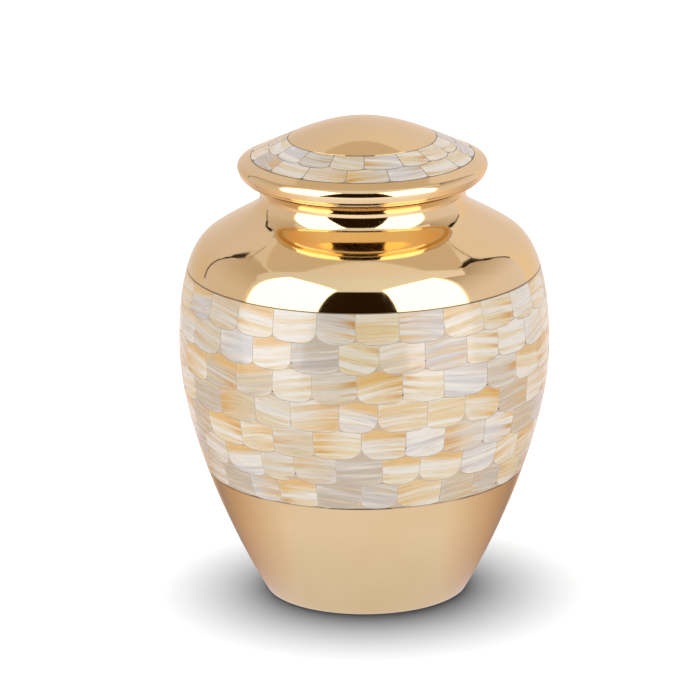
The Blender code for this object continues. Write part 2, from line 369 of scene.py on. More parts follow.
def dirt_and_shade_beside(tree, colour, measure, edge, reach, most, dirt):
    """Colour darkened beside an edge, which is a value of the measure: dirt and painted shade of the
    seam. It thins over the reach.
    """
    away = add_node(tree, "ShaderNodeMath", {0: measure, 1: edge}, operation="SUBTRACT")
    near = add_node(tree, "ShaderNodeMath", {0: away}, operation="ABSOLUTE")
    share = add_node(tree, "ShaderNodeMapRange", {
        "Value": near, "From Min": reach[0], "From Max": reach[1], "To Min": most, "To Max": 0.0})
    return add_node(tree, "ShaderNodeMix", {0: share, 6: colour, 7: linear(dirt)}, data_type="RGBA")


print("brass colours:", BRASS, BRASS_DEEP, "with residue", POLISH_RESIDUE_AND_SEAM_SHADE)

# %% [markdown]
# Two finishes come from one function: the mirror of the outside, and the dull brass of the inside,
# which is left as it came off the lathe. Both carry a thin clear lacquer.


# %% Brass: two finishes
def brass(name, roughness, ring_height, seams=()):
    """Brass turned in fine rings. Roughness is its range, and seams are heights with polish residue
    and painted seam shade.
    """
    material, tree = new_material(name)
    place, from_axis, height = place_on_urn(tree)
    ring = add_node(tree, "ShaderNodeCombineXYZ", {0: from_axis, 1: height})
    rings = add_node(tree, "ShaderNodeTexNoise", {
        "Vector": ring, "Scale": 1 / RING_SPACING, "Detail": 2.0, "Roughness": 0.6})
    haze = add_node(tree, "ShaderNodeTexNoise", {
        "Vector": place, "Scale": 1 / HAZE_SIZE, "Detail": 4.0, "Roughness": 0.55})
    wiped = add_node(tree, "ShaderNodeMapping", {
        "Vector": place, "Rotation": (0.3, 0.5, 0.9), "Scale": (1.0, 0.03, 0.05)})
    scratches = add_node(tree, "ShaderNodeTexNoise", {
        "Vector": wiped, "Scale": 1 / SCRATCH_SPACING, "Detail": 3.0, "Roughness": 0.7})
    scratched = add_node(tree, "ShaderNodeMapRange", {
        "Value": scratches, "From Min": 0.60, "From Max": 0.74, "To Min": 0.0, "To Max": 0.05})
    rough = add_node(tree, "ShaderNodeMapRange", {
        "Value": haze, "From Min": 0.3, "From Max": 0.7,
        "To Min": roughness[0], "To Max": roughness[1]})
    rougher = add_node(tree, "ShaderNodeMath", {0: rough, 1: scratched}, operation="ADD")
    colour = add_node(tree, "ShaderNodeMix", {
        0: haze, 6: linear(BRASS), 7: linear(BRASS_DEEP)}, data_type="RGBA")
    # Beside the inlay the brass is darkened: polish residue and painted shade of the seam.
    for seam in seams:
        colour = dirt_and_shade_beside(tree, colour, height, seam, RESIDUE_AND_SEAM_SHADE_REACH, 0.55, POLISH_RESIDUE_AND_SEAM_SHADE)
    bump = add_node(tree, "ShaderNodeBump", {
        "Strength": 1.0, "Distance": ring_height, "Height": rings})
    shader = add_node(tree, "ShaderNodeBsdfPrincipled", {
        "Base Color": colour, "Metallic": 1.0, "Roughness": rougher, "Normal": bump,
        "Coat Weight": 0.3, "Coat Roughness": 0.04, "Coat IOR": 1.5})
    add_node(tree, "ShaderNodeOutputMaterial", {"Surface": shader})
    return material


BAND_BOTTOM, BAND_TOP = 0.0630, 0.1625  # heights between which the band lies
polished = brass("polished and lacquered brass", (0.045, 0.085), 2.0e-7, (BAND_BOTTOM, BAND_TOP))
spun = brass("brass as it leaves the lathe", (0.22, 0.34), 6.0e-6)
print("brass finishes:", polished.name, "and", spun.name)

# %% [markdown]
# The body
# The wall is as thin as in the real urn, and the hollow inside is really there, because the lid
# lifts off. The brass is cut back where the band lies, so that the tiles can sit in it and stay
# flush. The two outer corners of that groove are broken by a hair, as a turner leaves them.

# %% Lines of the body's wall
WALL, FLOOR = 0.0024, 0.0026
INLAY_DEPTH = 0.0012
ARRIS = 0.0001                          # broken corner beside the inlay
FOOT_ROUNDING = 0.0005


def inlay_floor(line, start, end, steps):
    """Cut-back stretch of the brass, with its two corners broken."""
    return ([at(line, start - ARRIS), at(line, start, ARRIS)]
            + divided(line, start, end, steps, INLAY_DEPTH)
            + [at(line, end, ARRIS), at(line, end + ARRIS)])


floor_level, band_start, belly, band_end, shoulder, neck = [
    distance_where(BODY, 1, height) for height in
    (FLOOR, BAND_BOTTOM, BELLY_HEIGHT, BAND_TOP, SHOULDER_HEIGHT, NECK_HEIGHT)]
body_end = lengths(BODY)[-1]
lip_edge = body_end - LIP_FLARE * LIP_EDGE
bore = NECK_RADIUS - WALL
outside = joined(
    [at(BODY, 0.0, FOOT_ROUNDING), at(BODY, FOOT_ROUNDING * 0.3, FOOT_ROUNDING * 0.3)],
    divided(BODY, FOOT_ROUNDING, band_start - ARRIS, 34)[:-1],
    inlay_floor(BODY, band_start, band_end, 24),
    divided(BODY, band_end + ARRIS, shoulder, 26)[1:],
    divided(BODY, shoulder, neck, 44),
    divided(BODY, neck, lip_edge, 20),
    divided(BODY, lip_edge, body_end, 7),
)
outside[0].y = 0.0
inside = joined(
    divided(BODY, neck, shoulder, 20, WALL),
    divided(BODY, shoulder, belly, 26, WALL),
    divided(BODY, belly, floor_level, 34, WALL),
)
inside[-1] = Vector((inside[-1].x, FLOOR))
print("points on the body's lines, outside and inside:", len(outside), len(inside))

# %% [markdown]
# Turned about the axis, the two lines become the vessel. Faces on the inside are given the duller
# finish, since nobody polishes the inside of an urn.

# %% Turn the body
body_mesh = turned("turned_body", (
    [Vector((0.0, 0.0))] + outside
    + [Vector((LIP_RADIUS - LIP_CHAMFER, SEAT_HEIGHT)), Vector((bore, SEAT_HEIGHT))]
    + inside + [Vector((0.0, FLOOR))]), polished)
body_mesh.materials.append(spun)
wall_middle = [at(BODY, body_end * i / 200, WALL * 0.8) for i in range(201)]


def is_inside(face):
    """True for a face of the inner wall or the floor of the hollow."""
    radius, height = math.hypot(face.center.x, face.center.y), face.center.z
    if height > NECK_HEIGHT:
        return radius < bore + 1e-4
    nearest = min(wall_middle, key=lambda p: abs(p.y - height))
    return radius < nearest.x and height > FLOOR / 2


for face in body_mesh.polygons:
    face.material_index = int(is_inside(face))
finish_piece("turned_body", body_mesh, ["urn_body"])

# %% [markdown]
# The lid
# The same lathe makes the lid. Its top is polished and its hollow underside is left as it was spun.

# %% Make the lid
LID_INLAY_OUTER, LID_INLAY_INNER = 0.0541, 0.0358   # radii between which the ring lies
ring_start = distance_where(LID, 0, LID_INLAY_OUTER)
ring_end = distance_where(LID, 0, LID_INLAY_INNER)
lid_end = lengths(LID)[-1]
rim_top = distance_where(LID, 1, RIM_HEIGHT + RIM_CORNER * math.sin(DOME_LEAN))
face_bottom = RIM_LOWER_EDGE * (math.pi / 2 - RIM_CANT)
face_top = distance_where(LID, 1, RIM_HEIGHT - RIM_CORNER * math.sin(RIM_CANT))
spigot_outer = NECK_RADIUS - WALL - SPIGOT_CLEARANCE
spigot_inner = spigot_outer - WALL
lid_outside = joined(
    divided(LID, 0.0, face_bottom, 8),
    divided(LID, face_bottom, face_top, 6),
    divided(LID, face_top, rim_top, 16),
    divided(LID, rim_top, ring_start - ARRIS, 6)[:-1],
    inlay_floor(LID, ring_start, ring_end, 10),
    divided(LID, ring_end + ARRIS, lid_end, 30)[1:],
)
inner_dome = divided(LID, rim_top, lid_end, 24, WALL)
inner_dome[-1] = Vector((0.0, DOME_TOP - WALL))
underneath = [Vector(p) for p in (
    (RIM_RADIUS - 1.4 * WALL, LID_BOTTOM + WALL), (spigot_inner, LID_BOTTOM + WALL),
    (spigot_inner, LID_BOTTOM - SPIGOT_LENGTH), (spigot_outer, LID_BOTTOM - SPIGOT_LENGTH),
    (spigot_outer, LID_BOTTOM))]
lid_mesh = turned("turned_lid", list(reversed(inner_dome)) + underneath + lid_outside, polished)
lid_mesh.materials.append(spun)
for face in lid_mesh.polygons:
    radius, height = math.hypot(face.center.x, face.center.y), face.center.z
    under_dome = height < min(LID, key=lambda p: abs(p.x - radius)).y - WALL * 0.6
    face.material_index = int(radius < spigot_outer + 1e-4 and under_dome)
finish_piece("turned_lid", lid_mesh, ["urn_lid"])

# %% [markdown]
# Bedding resin
# The tiles are pressed into a beige resin, which fills the groove and rises into the joints. It dries
# a little lower than the shell and holds polishing dirt. It is darkest where it meets the brass, with
# dirt there and painted shade of the seam. The resin is a ring turned from the same line. Its material
# knows the ends of the groove by their height or, on the lid, by their distance from the axis. Uneven
# pinkish patches and soft specks keep it from looking like plain paint, and its dull shine sets it off
# from the shell.

# %% Resin beds
# The third colour is dirt in specks, and beside the brass also painted shade of the seam.
RESIN, RESIN_PINK, RESIN_DIRT_AND_SEAM_SHADE = "E0CBA9", "D9C1A8", "4A3315"
RESIN_SINK = 0.00016                    # how far the resin lies under the tiles' faces
RESIN_PATCHES, RESIN_SPECK = 90.0, 0.0012    # patches to a metre, size of a speck
# The strip beside the brass is darkened by dirt and by painted shade of the seam.
SEAM_DARK = 0.0007                      # width of the dirty strip beside the brass


def resin(name, axis, edges, dirt_share):
    """Cast resin with dirt specks, darker at two edges with dirt and painted seam shade. The edges are
    radii (axis 0) or heights (axis 1).
    """
    material, tree = new_material(name)
    place, from_axis, height = place_on_urn(tree)
    patches = add_node(tree, "ShaderNodeTexNoise", {
        "Vector": place, "Scale": RESIN_PATCHES, "Detail": 2.0})
    specks = add_node(tree, "ShaderNodeTexNoise", {
        "Vector": place, "Scale": 1 / RESIN_SPECK, "Detail": 3.0, "Roughness": 0.7})
    pinker = add_node(tree, "ShaderNodeMapRange", {
        "Value": patches, "From Min": 0.35, "From Max": 0.65})
    colour = add_node(tree, "ShaderNodeMix", {
        0: pinker, 6: linear(RESIN), 7: linear(RESIN_PINK)}, data_type="RGBA")
    speckled = add_node(tree, "ShaderNodeMapRange", {
        "Value": specks, "From Min": 0.60 - 0.6 * dirt_share, "From Max": 0.76,
        "To Max": dirt_share})
    colour = add_node(tree, "ShaderNodeMix", {
        0: speckled, 6: colour, 7: linear(RESIN_DIRT_AND_SEAM_SHADE)}, data_type="RGBA")
    # Beside the brass the resin is darkened: dirt and painted shade of the seam.
    for edge in edges:
        colour = dirt_and_shade_beside(tree, colour, height if axis else from_axis, edge,
                              (SEAM_DARK * 0.4, SEAM_DARK), 0.85, RESIN_DIRT_AND_SEAM_SHADE)
    bump = add_node(tree, "ShaderNodeBump", {"Distance": 0.00004, "Height": specks})
    shader = add_node(tree, "ShaderNodeBsdfPrincipled", {
        "Base Color": colour, "Roughness": 0.38, "IOR": 1.55, "Normal": bump})
    add_node(tree, "ShaderNodeOutputMaterial", {"Surface": shader})
    return material


def resin_bed(name, line, start, end, steps, material):
    """Ring of resin that fills an inlay groove to just under its top."""
    gap = ARRIS / 2
    face = divided(line, start + gap, end - gap, steps, RESIN_SINK)
    back = divided(line, end - gap, start + gap, steps, INLAY_DEPTH - gap)
    return finish_piece(name, turned(name, face + back, material), ())


resin_bed("band_resin_bed", BODY, band_start, band_end, 48,
          resin("band bedding resin", 1, (BAND_BOTTOM, BAND_TOP), 0.25))
resin_bed("lid_resin_bed", LID, ring_start, ring_end, 14,
          resin("lid bedding resin", 0, (LID_INLAY_OUTER, LID_INLAY_INNER), 0.75))

# %% [markdown]
# Mother-of-pearl
# Shell is grown in layers, so a cut through it shows bands that run along the tile: pearl white, pale
# grey, cream, and honey where the cut comes near the shell's outer skin. No two pieces match. The
# tiles carry their own measurements as attributes: where a point lies on its tile in millimetres, and
# six random numbers for each tile. The first cell reads them and bends the tile's height into layers
# that are tilted and bowed differently in each tile.

# %% Shell finish: layers
PEARL, PEARL_COOL, CREAM = "F8F0E1", "DCD6D2", "F2DAAB"
GREY_BEIGE, HONEY, HONEY_DEEP, LAYER_LINE = "C2B29D", "EDBC64", "DB9A38", "B8935C"
LAYER, BAND, LINE = 3.4, 1.6, 0.7       # millimetres from one layer to the next

shell, pearl = new_material("ground and lacquered mother-of-pearl")
(across, up, edge), chance, more = [
    add_node(pearl, "ShaderNodeSeparateXYZ", {
        0: add_node(pearl, "ShaderNodeAttribute", attribute_name=name).outputs["Vector"]}).outputs
    for name in ("tile_place", "tile_chance", "tile_more")]
tilt = add_node(pearl, "ShaderNodeMapRange", {
    "Value": chance[0], "To Min": -0.22, "To Max": 0.22})
bow = add_node(pearl, "ShaderNodeMapRange", {
    "Value": chance[1], "To Min": -0.004, "To Max": 0.007})
tilted = add_node(pearl, "ShaderNodeMath", {0: across, 1: tilt, 2: up}, operation="MULTIPLY_ADD")
squared = add_node(pearl, "ShaderNodeMath", {0: across, 1: across}, operation="MULTIPLY")
layer = add_node(pearl, "ShaderNodeMath", {0: squared, 1: bow, 2: tilted},
                 operation="MULTIPLY_ADD")
own_place = add_node(pearl, "ShaderNodeMath", {0: chance[2], 1: 90.0}, operation="MULTIPLY")
own_depth = add_node(pearl, "ShaderNodeMath", {0: more[0], 1: 70.0}, operation="MULTIPLY")
drawn_out = add_node(pearl, "ShaderNodeMath", {0: across, 1: 0.045, 2: own_place},
                     operation="MULTIPLY_ADD")
streak = add_node(pearl, "ShaderNodeCombineXYZ", {0: drawn_out, 1: layer, 2: own_depth})
spot = add_node(pearl, "ShaderNodeCombineXYZ", {0: across, 1: up, 2: own_place})
broad, bands, lines = [
    add_node(pearl, "ShaderNodeTexNoise", {
        "Vector": streak, "Scale": 1 / size, "Detail": detail, "Roughness": 0.5,
        "Distortion": 0.2})
    for size, detail in ((LAYER, 1.0), (BAND, 2.0), (LINE, 2.0))]
print("layers of the shell in mm:", LAYER, BAND, LINE)

# %% [markdown]
# The next two cells colour the layers. Each tile is somewhere between white and cream, and some are
# grey.

# %% Shell finish: white, cream and grey
cloudy = add_node(pearl, "ShaderNodeMapRange", {
    "Value": broad, "From Min": 0.35, "From Max": 0.62}, interpolation_type="SMOOTHSTEP")
banded = add_node(pearl, "ShaderNodeMapRange", {
    "Value": broad, "From Min": 0.38, "From Max": 0.62}, interpolation_type="SMOOTHSTEP")
cool, warm = [
    add_node(pearl, "ShaderNodeMix", {0: share, 6: linear(PEARL), 7: linear(other)},
             data_type="RGBA")
    for share, other in ((cloudy, PEARL_COOL), (banded, CREAM))]
warmth = add_node(pearl, "ShaderNodeMapRange", {
    "Value": more[1], "From Min": 0.15, "From Max": 0.45})
colour = add_node(pearl, "ShaderNodeMix", {0: warmth, 6: cool, 7: warm}, data_type="RGBA")
grey_tile = add_node(pearl, "ShaderNodeMapRange", {
    "Value": more[2], "From Min": 0.62, "From Max": 0.92, "To Max": 0.85},
    interpolation_type="SMOOTHSTEP")
grey_layer = add_node(pearl, "ShaderNodeMapRange", {
    "Value": bands, "From Min": 0.35, "From Max": 0.60, "To Min": 0.35, "To Max": 1.0})
greyness = add_node(pearl, "ShaderNodeMath", {0: grey_tile, 1: grey_layer}, operation="MULTIPLY")
print("white, cream and grey of the shell:", PEARL, PEARL_COOL, CREAM, GREY_BEIGE)

# %% [markdown]
# Honey gathers in some layers towards one end of a tile, or along its top in a few tiles, and is
# deepest where a broad layer and that end meet. The layers themselves show as fine darker lines. The
# rim of a tile is paler, because light comes in through its side.

# %% Shell finish: honey, lines and rim
side = add_node(pearl, "ShaderNodeMapRange", {
    "Value": chance[2], "To Min": -0.075, "To Max": 0.075})
end_share = add_node(pearl, "ShaderNodeMath", {0: across, 1: side, 2: 0.46},
                     operation="MULTIPLY_ADD", use_clamp=True)
honey_from = add_node(pearl, "ShaderNodeMapRange", {
    "Value": chance[1], "From Min": 0.1, "From Max": 0.9, "To Min": 0.66, "To Max": 0.36})
honey_to = add_node(pearl, "ShaderNodeMath", {0: honey_from, 1: 0.26}, operation="ADD")
honey_layer = add_node(pearl, "ShaderNodeMapRange", {
    "Value": bands, "From Min": honey_from, "From Max": honey_to},
    interpolation_type="SMOOTHSTEP")
end_honey = add_node(pearl, "ShaderNodeMath", {0: honey_layer, 1: end_share}, operation="MULTIPLY")
top_end = add_node(pearl, "ShaderNodeMapRange", {
    "Value": layer, "From Min": 8.5, "From Max": 12.5}, interpolation_type="SMOOTHSTEP")
top_chance = add_node(pearl, "ShaderNodeMapRange", {
    "Value": more[0], "From Min": 0.62, "From Max": 0.80, "To Max": 0.9})
top_honey = add_node(pearl, "ShaderNodeMath", {0: top_end, 1: top_chance}, operation="MULTIPLY")
honey = add_node(pearl, "ShaderNodeMath", {0: end_honey, 1: top_honey}, operation="MAXIMUM")
deep_layer = add_node(pearl, "ShaderNodeMapRange", {
    "Value": broad, "From Min": 0.50, "From Max": 0.70, "To Max": 0.9},
    interpolation_type="SMOOTHSTEP")
deep_end = add_node(pearl, "ShaderNodeMapRange", {
    "Value": end_share, "From Min": 0.50, "From Max": 1.0})
deep = add_node(pearl, "ShaderNodeMath", {0: deep_layer, 1: deep_end}, operation="MULTIPLY")
line_share = add_node(pearl, "ShaderNodeMapRange", {
    "Value": lines, "From Min": 0.54, "From Max": 0.72, "To Max": 0.4},
    interpolation_type="SMOOTHSTEP")
rim_share = add_node(pearl, "ShaderNodeMapRange", {
    "Value": edge, "From Min": 0.05, "From Max": 0.5, "To Min": 0.2, "To Max": 0.0})
for share, paint in ((greyness, GREY_BEIGE), (honey, HONEY), (deep, HONEY_DEEP),
                     (line_share, LAYER_LINE), (rim_share, PEARL)):
    colour = add_node(pearl, "ShaderNodeMix", {0: share, 6: colour, 7: linear(paint)},
                      data_type="RGBA")
print("honey and lines of the shell:", HONEY, HONEY_DEEP, LAYER_LINE)

# %% [markdown]
# The last cell gives the shine. Ground nacre is satin by itself, and the clear lacquer over it is
# smooth, so the surface has a soft sheen with a thin sharper one on top. The ground face is never
# quite flat, which a low wide bump shows.

# %% Shell finish: shine
rough = add_node(pearl, "ShaderNodeMapRange", {
    "Value": lines, "From Min": 0.3, "From Max": 0.7, "To Min": 0.24, "To Max": 0.36})
relief = add_node(pearl, "ShaderNodeTexNoise", {"Vector": spot, "Scale": 0.2, "Detail": 2.0})
bump = add_node(pearl, "ShaderNodeBump", {"Distance": 0.00010, "Height": relief})
shine = add_node(pearl, "ShaderNodeBsdfPrincipled", {
    "Base Color": colour, "Roughness": rough, "IOR": 1.53, "Normal": bump,
    "Coat Weight": 0.6, "Coat Roughness": 0.08, "Coat IOR": 1.5})
add_node(pearl, "ShaderNodeOutputMaterial", {"Surface": shine})
print("shell finish:", shell.name, "with", len(pearl.nodes), "nodes")

# %% [markdown]
# How the tiles are laid
# Each tile is a small block with straight ends, an arched top and rounded lower corners, like a fish
# scale. They could be modelled one by one, but they follow a rule: so many to a course, each course
# turned by half a tile, every joint wandering a little. Geometry Nodes suit a rule like that.
# First come three small groups that the trees share. The first says where a joint is and how deep
# the notch under it is, both a little random. The joint before the first tile has to be the joint
# after the last one, so the random numbers are counted round the course.

# %% Group: place of a joint
NUMBER, WHOLE, SHAPE = "NodeSocketFloat", "NodeSocketInt", "NodeSocketGeometry"
# Added to a course's seed, so that each kind of chance is drawn on its own
NOTCH_DRAW, CHANCE_DRAW, MORE_DRAW, LEAN_DRAW = 50.0, 200.0, 300.0, 400.0
PIT_PLACE_DRAW, PIT_SIZE_DRAW, PIT_LUCK_DRAW = 500.0, 600.0, 700.0


def new_tree(name, inputs, outputs):
    """Empty node group with its sockets, and the node that gives its inputs."""
    tree = bpy.data.node_groups.new(name, "GeometryNodeTree")
    for socket, kind in inputs.items():
        tree.interface.new_socket(socket, in_out="INPUT", socket_type=kind)
    for socket, kind in outputs.items():
        tree.interface.new_socket(socket, in_out="OUTPUT", socket_type=kind)
    return tree, add_node(tree, "NodeGroupInput").outputs


joint_place, given = new_tree(
    "place of a joint",
    {"Joint": NUMBER, "Tiles": WHOLE, "First Joint": NUMBER, "Wander": NUMBER, "Seed": WHOLE},
    {"Angle": NUMBER, "Notch": NUMBER})
counted = add_node(joint_place, "ShaderNodeMath", {0: given["Joint"], 1: given["Tiles"]},
                   operation="FLOORED_MODULO")
moved = add_node(joint_place, "FunctionNodeRandomValue", {
    2: -1.0, 3: 1.0, "ID": counted, "Seed": given["Seed"]})
wandering = add_node(joint_place, "ShaderNodeMath", {
    0: moved, 1: given["Wander"], 2: given["Joint"]}, operation="MULTIPLY_ADD")
pitch = add_node(joint_place, "ShaderNodeMath", {0: 2 * math.pi, 1: given["Tiles"]},
                 operation="DIVIDE")
angle = add_node(joint_place, "ShaderNodeMath", {
    0: wandering, 1: pitch, 2: given["First Joint"]}, operation="MULTIPLY_ADD")
notch_seed = add_node(joint_place, "ShaderNodeMath", {0: given["Seed"], 1: NOTCH_DRAW},
                      operation="ADD")
notch = add_node(joint_place, "FunctionNodeRandomValue", {
    2: 0.0, 3: 1.0, "ID": counted, "Seed": notch_seed})
add_node(joint_place, "NodeGroupOutput", {"Angle": angle, "Notch": notch})
print("group:", joint_place.name)

# %% [markdown]
# The second group draws the lower edge of a course. Under the middle of a tile the edge bulges down,
# and at a joint it turns up into a notch between two rounded corners. The course below reads the same
# edge for its own tops, up to a limit, so that the tiles fit each other and only the tip of a notch
# is left to the resin.

# %% Group: lower edge of a course
scale_edge, given = new_tree(
    "lower edge of a course",
    {"Distance": NUMBER, "Half Tile": NUMBER, "Notch": NUMBER, "Least Notch": NUMBER,
     "Most Notch": NUMBER, "Corner": NUMBER, "Bulge": NUMBER},
    {"Rise": NUMBER})
deep_share = add_node(scale_edge, "ShaderNodeMath", {0: given["Notch"], 1: 1.3}, operation="POWER")
depth = add_node(scale_edge, "ShaderNodeMapRange", {
    "Value": deep_share, "To Min": given["Least Notch"], "To Max": given["Most Notch"]})
reach = add_node(scale_edge, "ShaderNodeMath", {0: depth, 1: 0.5, 2: given["Corner"]},
                 operation="MULTIPLY_ADD")
away = add_node(scale_edge, "ShaderNodeMath", {0: given["Distance"], 1: reach}, operation="DIVIDE")
corner = add_node(scale_edge, "ShaderNodeMath", {0: 1.0, 1: away}, operation="SUBTRACT",
                  use_clamp=True)
squared = add_node(scale_edge, "ShaderNodeMath", {0: corner, 1: corner}, operation="MULTIPLY")
left_over = add_node(scale_edge, "ShaderNodeMath", {0: 1.0, 1: squared}, operation="SUBTRACT")
rounded = add_node(scale_edge, "ShaderNodeMath", {0: left_over}, operation="SQRT")
lifted = add_node(scale_edge, "ShaderNodeMath", {0: 1.0, 1: rounded}, operation="SUBTRACT")
to_middle = add_node(scale_edge, "ShaderNodeMath", {0: given["Distance"], 1: given["Half Tile"]},
                     operation="DIVIDE", use_clamp=True)
from_middle = add_node(scale_edge, "ShaderNodeMath", {0: 1.0, 1: to_middle}, operation="SUBTRACT")
flat = add_node(scale_edge, "ShaderNodeMath", {0: from_middle, 1: from_middle},
                operation="MULTIPLY")
full = add_node(scale_edge, "ShaderNodeMath", {0: 1.0, 1: flat}, operation="SUBTRACT")
bulged = add_node(scale_edge, "ShaderNodeMath", {0: full, 1: given["Bulge"]}, operation="MULTIPLY")
rise = add_node(scale_edge, "ShaderNodeMath", {0: lifted, 1: depth}, operation="MULTIPLY")
rise = add_node(scale_edge, "ShaderNodeMath", {0: rise, 1: bulged}, operation="SUBTRACT")
add_node(scale_edge, "NodeGroupOutput", {"Rise": rise})
print("group:", scale_edge.name)

# %% [markdown]
# The third group is the unsteadiness of the hand that cut the shell. It shifts the joints by a few
# tenths of a millimetre, smoothly, so that neighbours keep the same joint between them. Close to the
# brass it dies away, because the groove's edge is true.

# %% Group: unsteady hand
HAND_SIZE = 0.009                       # how far apart its waves are
STEADY, FREE = 0.0005, 0.0050           # distances from the brass between which the hand gets free
hand, given = new_tree(
    "unsteady hand",
    {"Angle": NUMBER, "Radius": NUMBER, "Level": NUMBER, "Inlay Start": NUMBER,
     "Inlay End": NUMBER, "Amount": NUMBER},
    {"Turn": NUMBER, "Slip": NUMBER})
sine = add_node(hand, "ShaderNodeMath", {0: given["Angle"]}, operation="SINE")
cosine = add_node(hand, "ShaderNodeMath", {0: given["Angle"]}, operation="COSINE")
circle = add_node(hand, "ShaderNodeCombineXYZ", {0: sine, 1: cosine})
around = add_node(hand, "ShaderNodeVectorMath", {0: circle, "Scale": given["Radius"]},
                  operation="SCALE")
lift = add_node(hand, "ShaderNodeCombineXYZ", {2: given["Level"]})
spot = add_node(hand, "ShaderNodeVectorMath", {0: around, 1: lift}, operation="ADD")
waves = add_node(hand, "ShaderNodeTexNoise", {"Vector": spot, "Scale": 1 / HAND_SIZE, "Detail": 2.0})
centred = add_node(hand, "ShaderNodeVectorMath", {0: waves.outputs["Color"], 1: (0.5, 0.5, 0.5)},
                   operation="SUBTRACT")
shift = add_node(hand, "ShaderNodeSeparateXYZ", {
    0: add_node(hand, "ShaderNodeVectorMath", {0: centred, "Scale": given["Amount"]},
                operation="SCALE")})
turn_by = add_node(hand, "ShaderNodeMath", {0: shift.outputs[0], 1: given["Radius"]},
                   operation="DIVIDE")
above_start = add_node(hand, "ShaderNodeMath", {0: given["Level"], 1: given["Inlay Start"]},
                       operation="SUBTRACT")
below_end = add_node(hand, "ShaderNodeMath", {0: given["Inlay End"], 1: given["Level"]},
                     operation="SUBTRACT")
nearer = add_node(hand, "ShaderNodeMath", {0: above_start, 1: below_end}, operation="MINIMUM")
freedom = add_node(hand, "ShaderNodeMapRange", {
    "Value": nearer, "From Min": STEADY, "From Max": FREE})
slip = add_node(hand, "ShaderNodeMath", {0: shift.outputs[1], 1: freedom}, operation="MULTIPLY")
add_node(hand, "NodeGroupOutput", {"Turn": turn_by, "Slip": slip})
print("group:", hand.name)

# %% [markdown]
# Laying a course
# The tree starts from the urn's line, drawn as a mesh of edges. It sets out one block for each tile
# in a row, flat, and then wraps the row round the urn: the place along the row becomes an angle, the
# height of a point on its block becomes a distance along the line, and its thickness a depth under
# the surface. Blocks are made real before that, so that each one can bend and be cut on its own.
# The blocks' rows of points crowd towards the edges, where a tile needs them.

# %% Tree: the flat row of blocks
ACROSS, UP = 10, 2                      # faces across and up each tile
lay, given = new_tree(
    "lay a course of shell",
    {"Geometry": SHAPE, "Tiles": WHOLE, "First Joint": NUMBER, "First Joint Above": NUMBER,
     "Seed": WHOLE, "Low": NUMBER, "High": NUMBER, "Inlay Start": NUMBER, "Inlay End": NUMBER,
     "Joint Width": NUMBER, "Wander": NUMBER, "Hand": NUMBER, "Least Notch": NUMBER,
     "Most Notch": NUMBER, "Corner": NUMBER, "Lower Bulge": NUMBER, "Upper Bulge": NUMBER,
     "Top Limit": NUMBER, "Thickness": NUMBER, "Lean": NUMBER,
     "Finish": "NodeSocketMaterial"},
    {"Geometry": SHAPE})
line_curve = add_node(lay, "GeometryNodeMeshToCurve", {"Mesh": given["Geometry"]})
block = add_node(lay, "GeometryNodeMeshCube", {
    "Size": (1.0, 1.0, 1.0), "Vertices X": ACROSS + 1, "Vertices Y": UP + 1, "Vertices Z": 2})
row = add_node(lay, "GeometryNodeMeshLine", {"Count": given["Tiles"], "Offset": (2.0, 0.0, 0.0)})
placed = add_node(lay, "GeometryNodeInstanceOnPoints", {"Points": row, "Instance": block})
blocks = add_node(lay, "GeometryNodeRealizeInstances", {"Geometry": placed})
bend = add_node(lay, "GeometryNodeInputMeshEdgeAngle")
is_rim = add_node(lay, "FunctionNodeCompare", {0: bend, 1: math.radians(40)},
                  operation="GREATER_THAN")
flat = add_node(lay, "ShaderNodeSeparateXYZ", {0: add_node(lay, "GeometryNodeInputPosition")})
halved = add_node(lay, "ShaderNodeMath", {0: flat.outputs[0], 1: 0.5}, operation="MULTIPLY")
number = add_node(lay, "ShaderNodeMath", {0: halved}, operation="ROUND")
raw_across = add_node(lay, "ShaderNodeMath", {0: number, 1: -2.0, 2: flat.outputs[0]},
                      operation="MULTIPLY_ADD")
crowded = []
for raw in (raw_across, flat.outputs[1]):
    swung = add_node(lay, "ShaderNodeMath", {0: raw, 1: math.pi}, operation="MULTIPLY")
    sine = add_node(lay, "ShaderNodeMath", {0: swung}, operation="SINE")
    crowded.append(add_node(lay, "ShaderNodeMath", {0: sine, 1: 0.5, 2: 0.5},
                            operation="MULTIPLY_ADD"))
across, up = crowded                    # both from 0 to 1
print("tree:", lay.name, "with", len(lay.nodes), "nodes so far")

# %% [markdown]
# Each block now finds its own joints, and the joint of the course above that meets it near its
# middle. Distances from joints are measured round the urn in metres, so a joint is as wide on the
# belly as it is near the shoulder.

# %% Tree: joints round each tile
level = add_node(lay, "ShaderNodeMapRange", {
    "Value": up, "To Min": given["Low"], "To Max": given["High"]})
on_line = add_node(lay, "GeometryNodeSampleCurve", {"Curves": line_curve, "Length": level},
                   mode="LENGTH")
radius = add_node(lay, "ShaderNodeSeparateXYZ", {0: on_line.outputs["Position"]}).outputs[0]
next_number = add_node(lay, "ShaderNodeMath", {0: number, 1: 1.0}, operation="ADD")
upper_seed = add_node(lay, "ShaderNodeMath", {0: given["Seed"], 1: 1.0}, operation="ADD")
middle = add_node(lay, "ShaderNodeMath", {0: number, 1: 0.5}, operation="ADD")
turned_back = add_node(lay, "ShaderNodeMath", {
    0: given["First Joint"], 1: given["First Joint Above"]}, operation="SUBTRACT")
in_tiles = add_node(lay, "ShaderNodeMath", {0: turned_back, 1: given["Tiles"]},
                    operation="MULTIPLY")
in_turns = add_node(lay, "ShaderNodeMath", {0: in_tiles, 1: 2 * math.pi}, operation="DIVIDE")
seen_above = add_node(lay, "ShaderNodeMath", {0: middle, 1: in_turns}, operation="ADD")
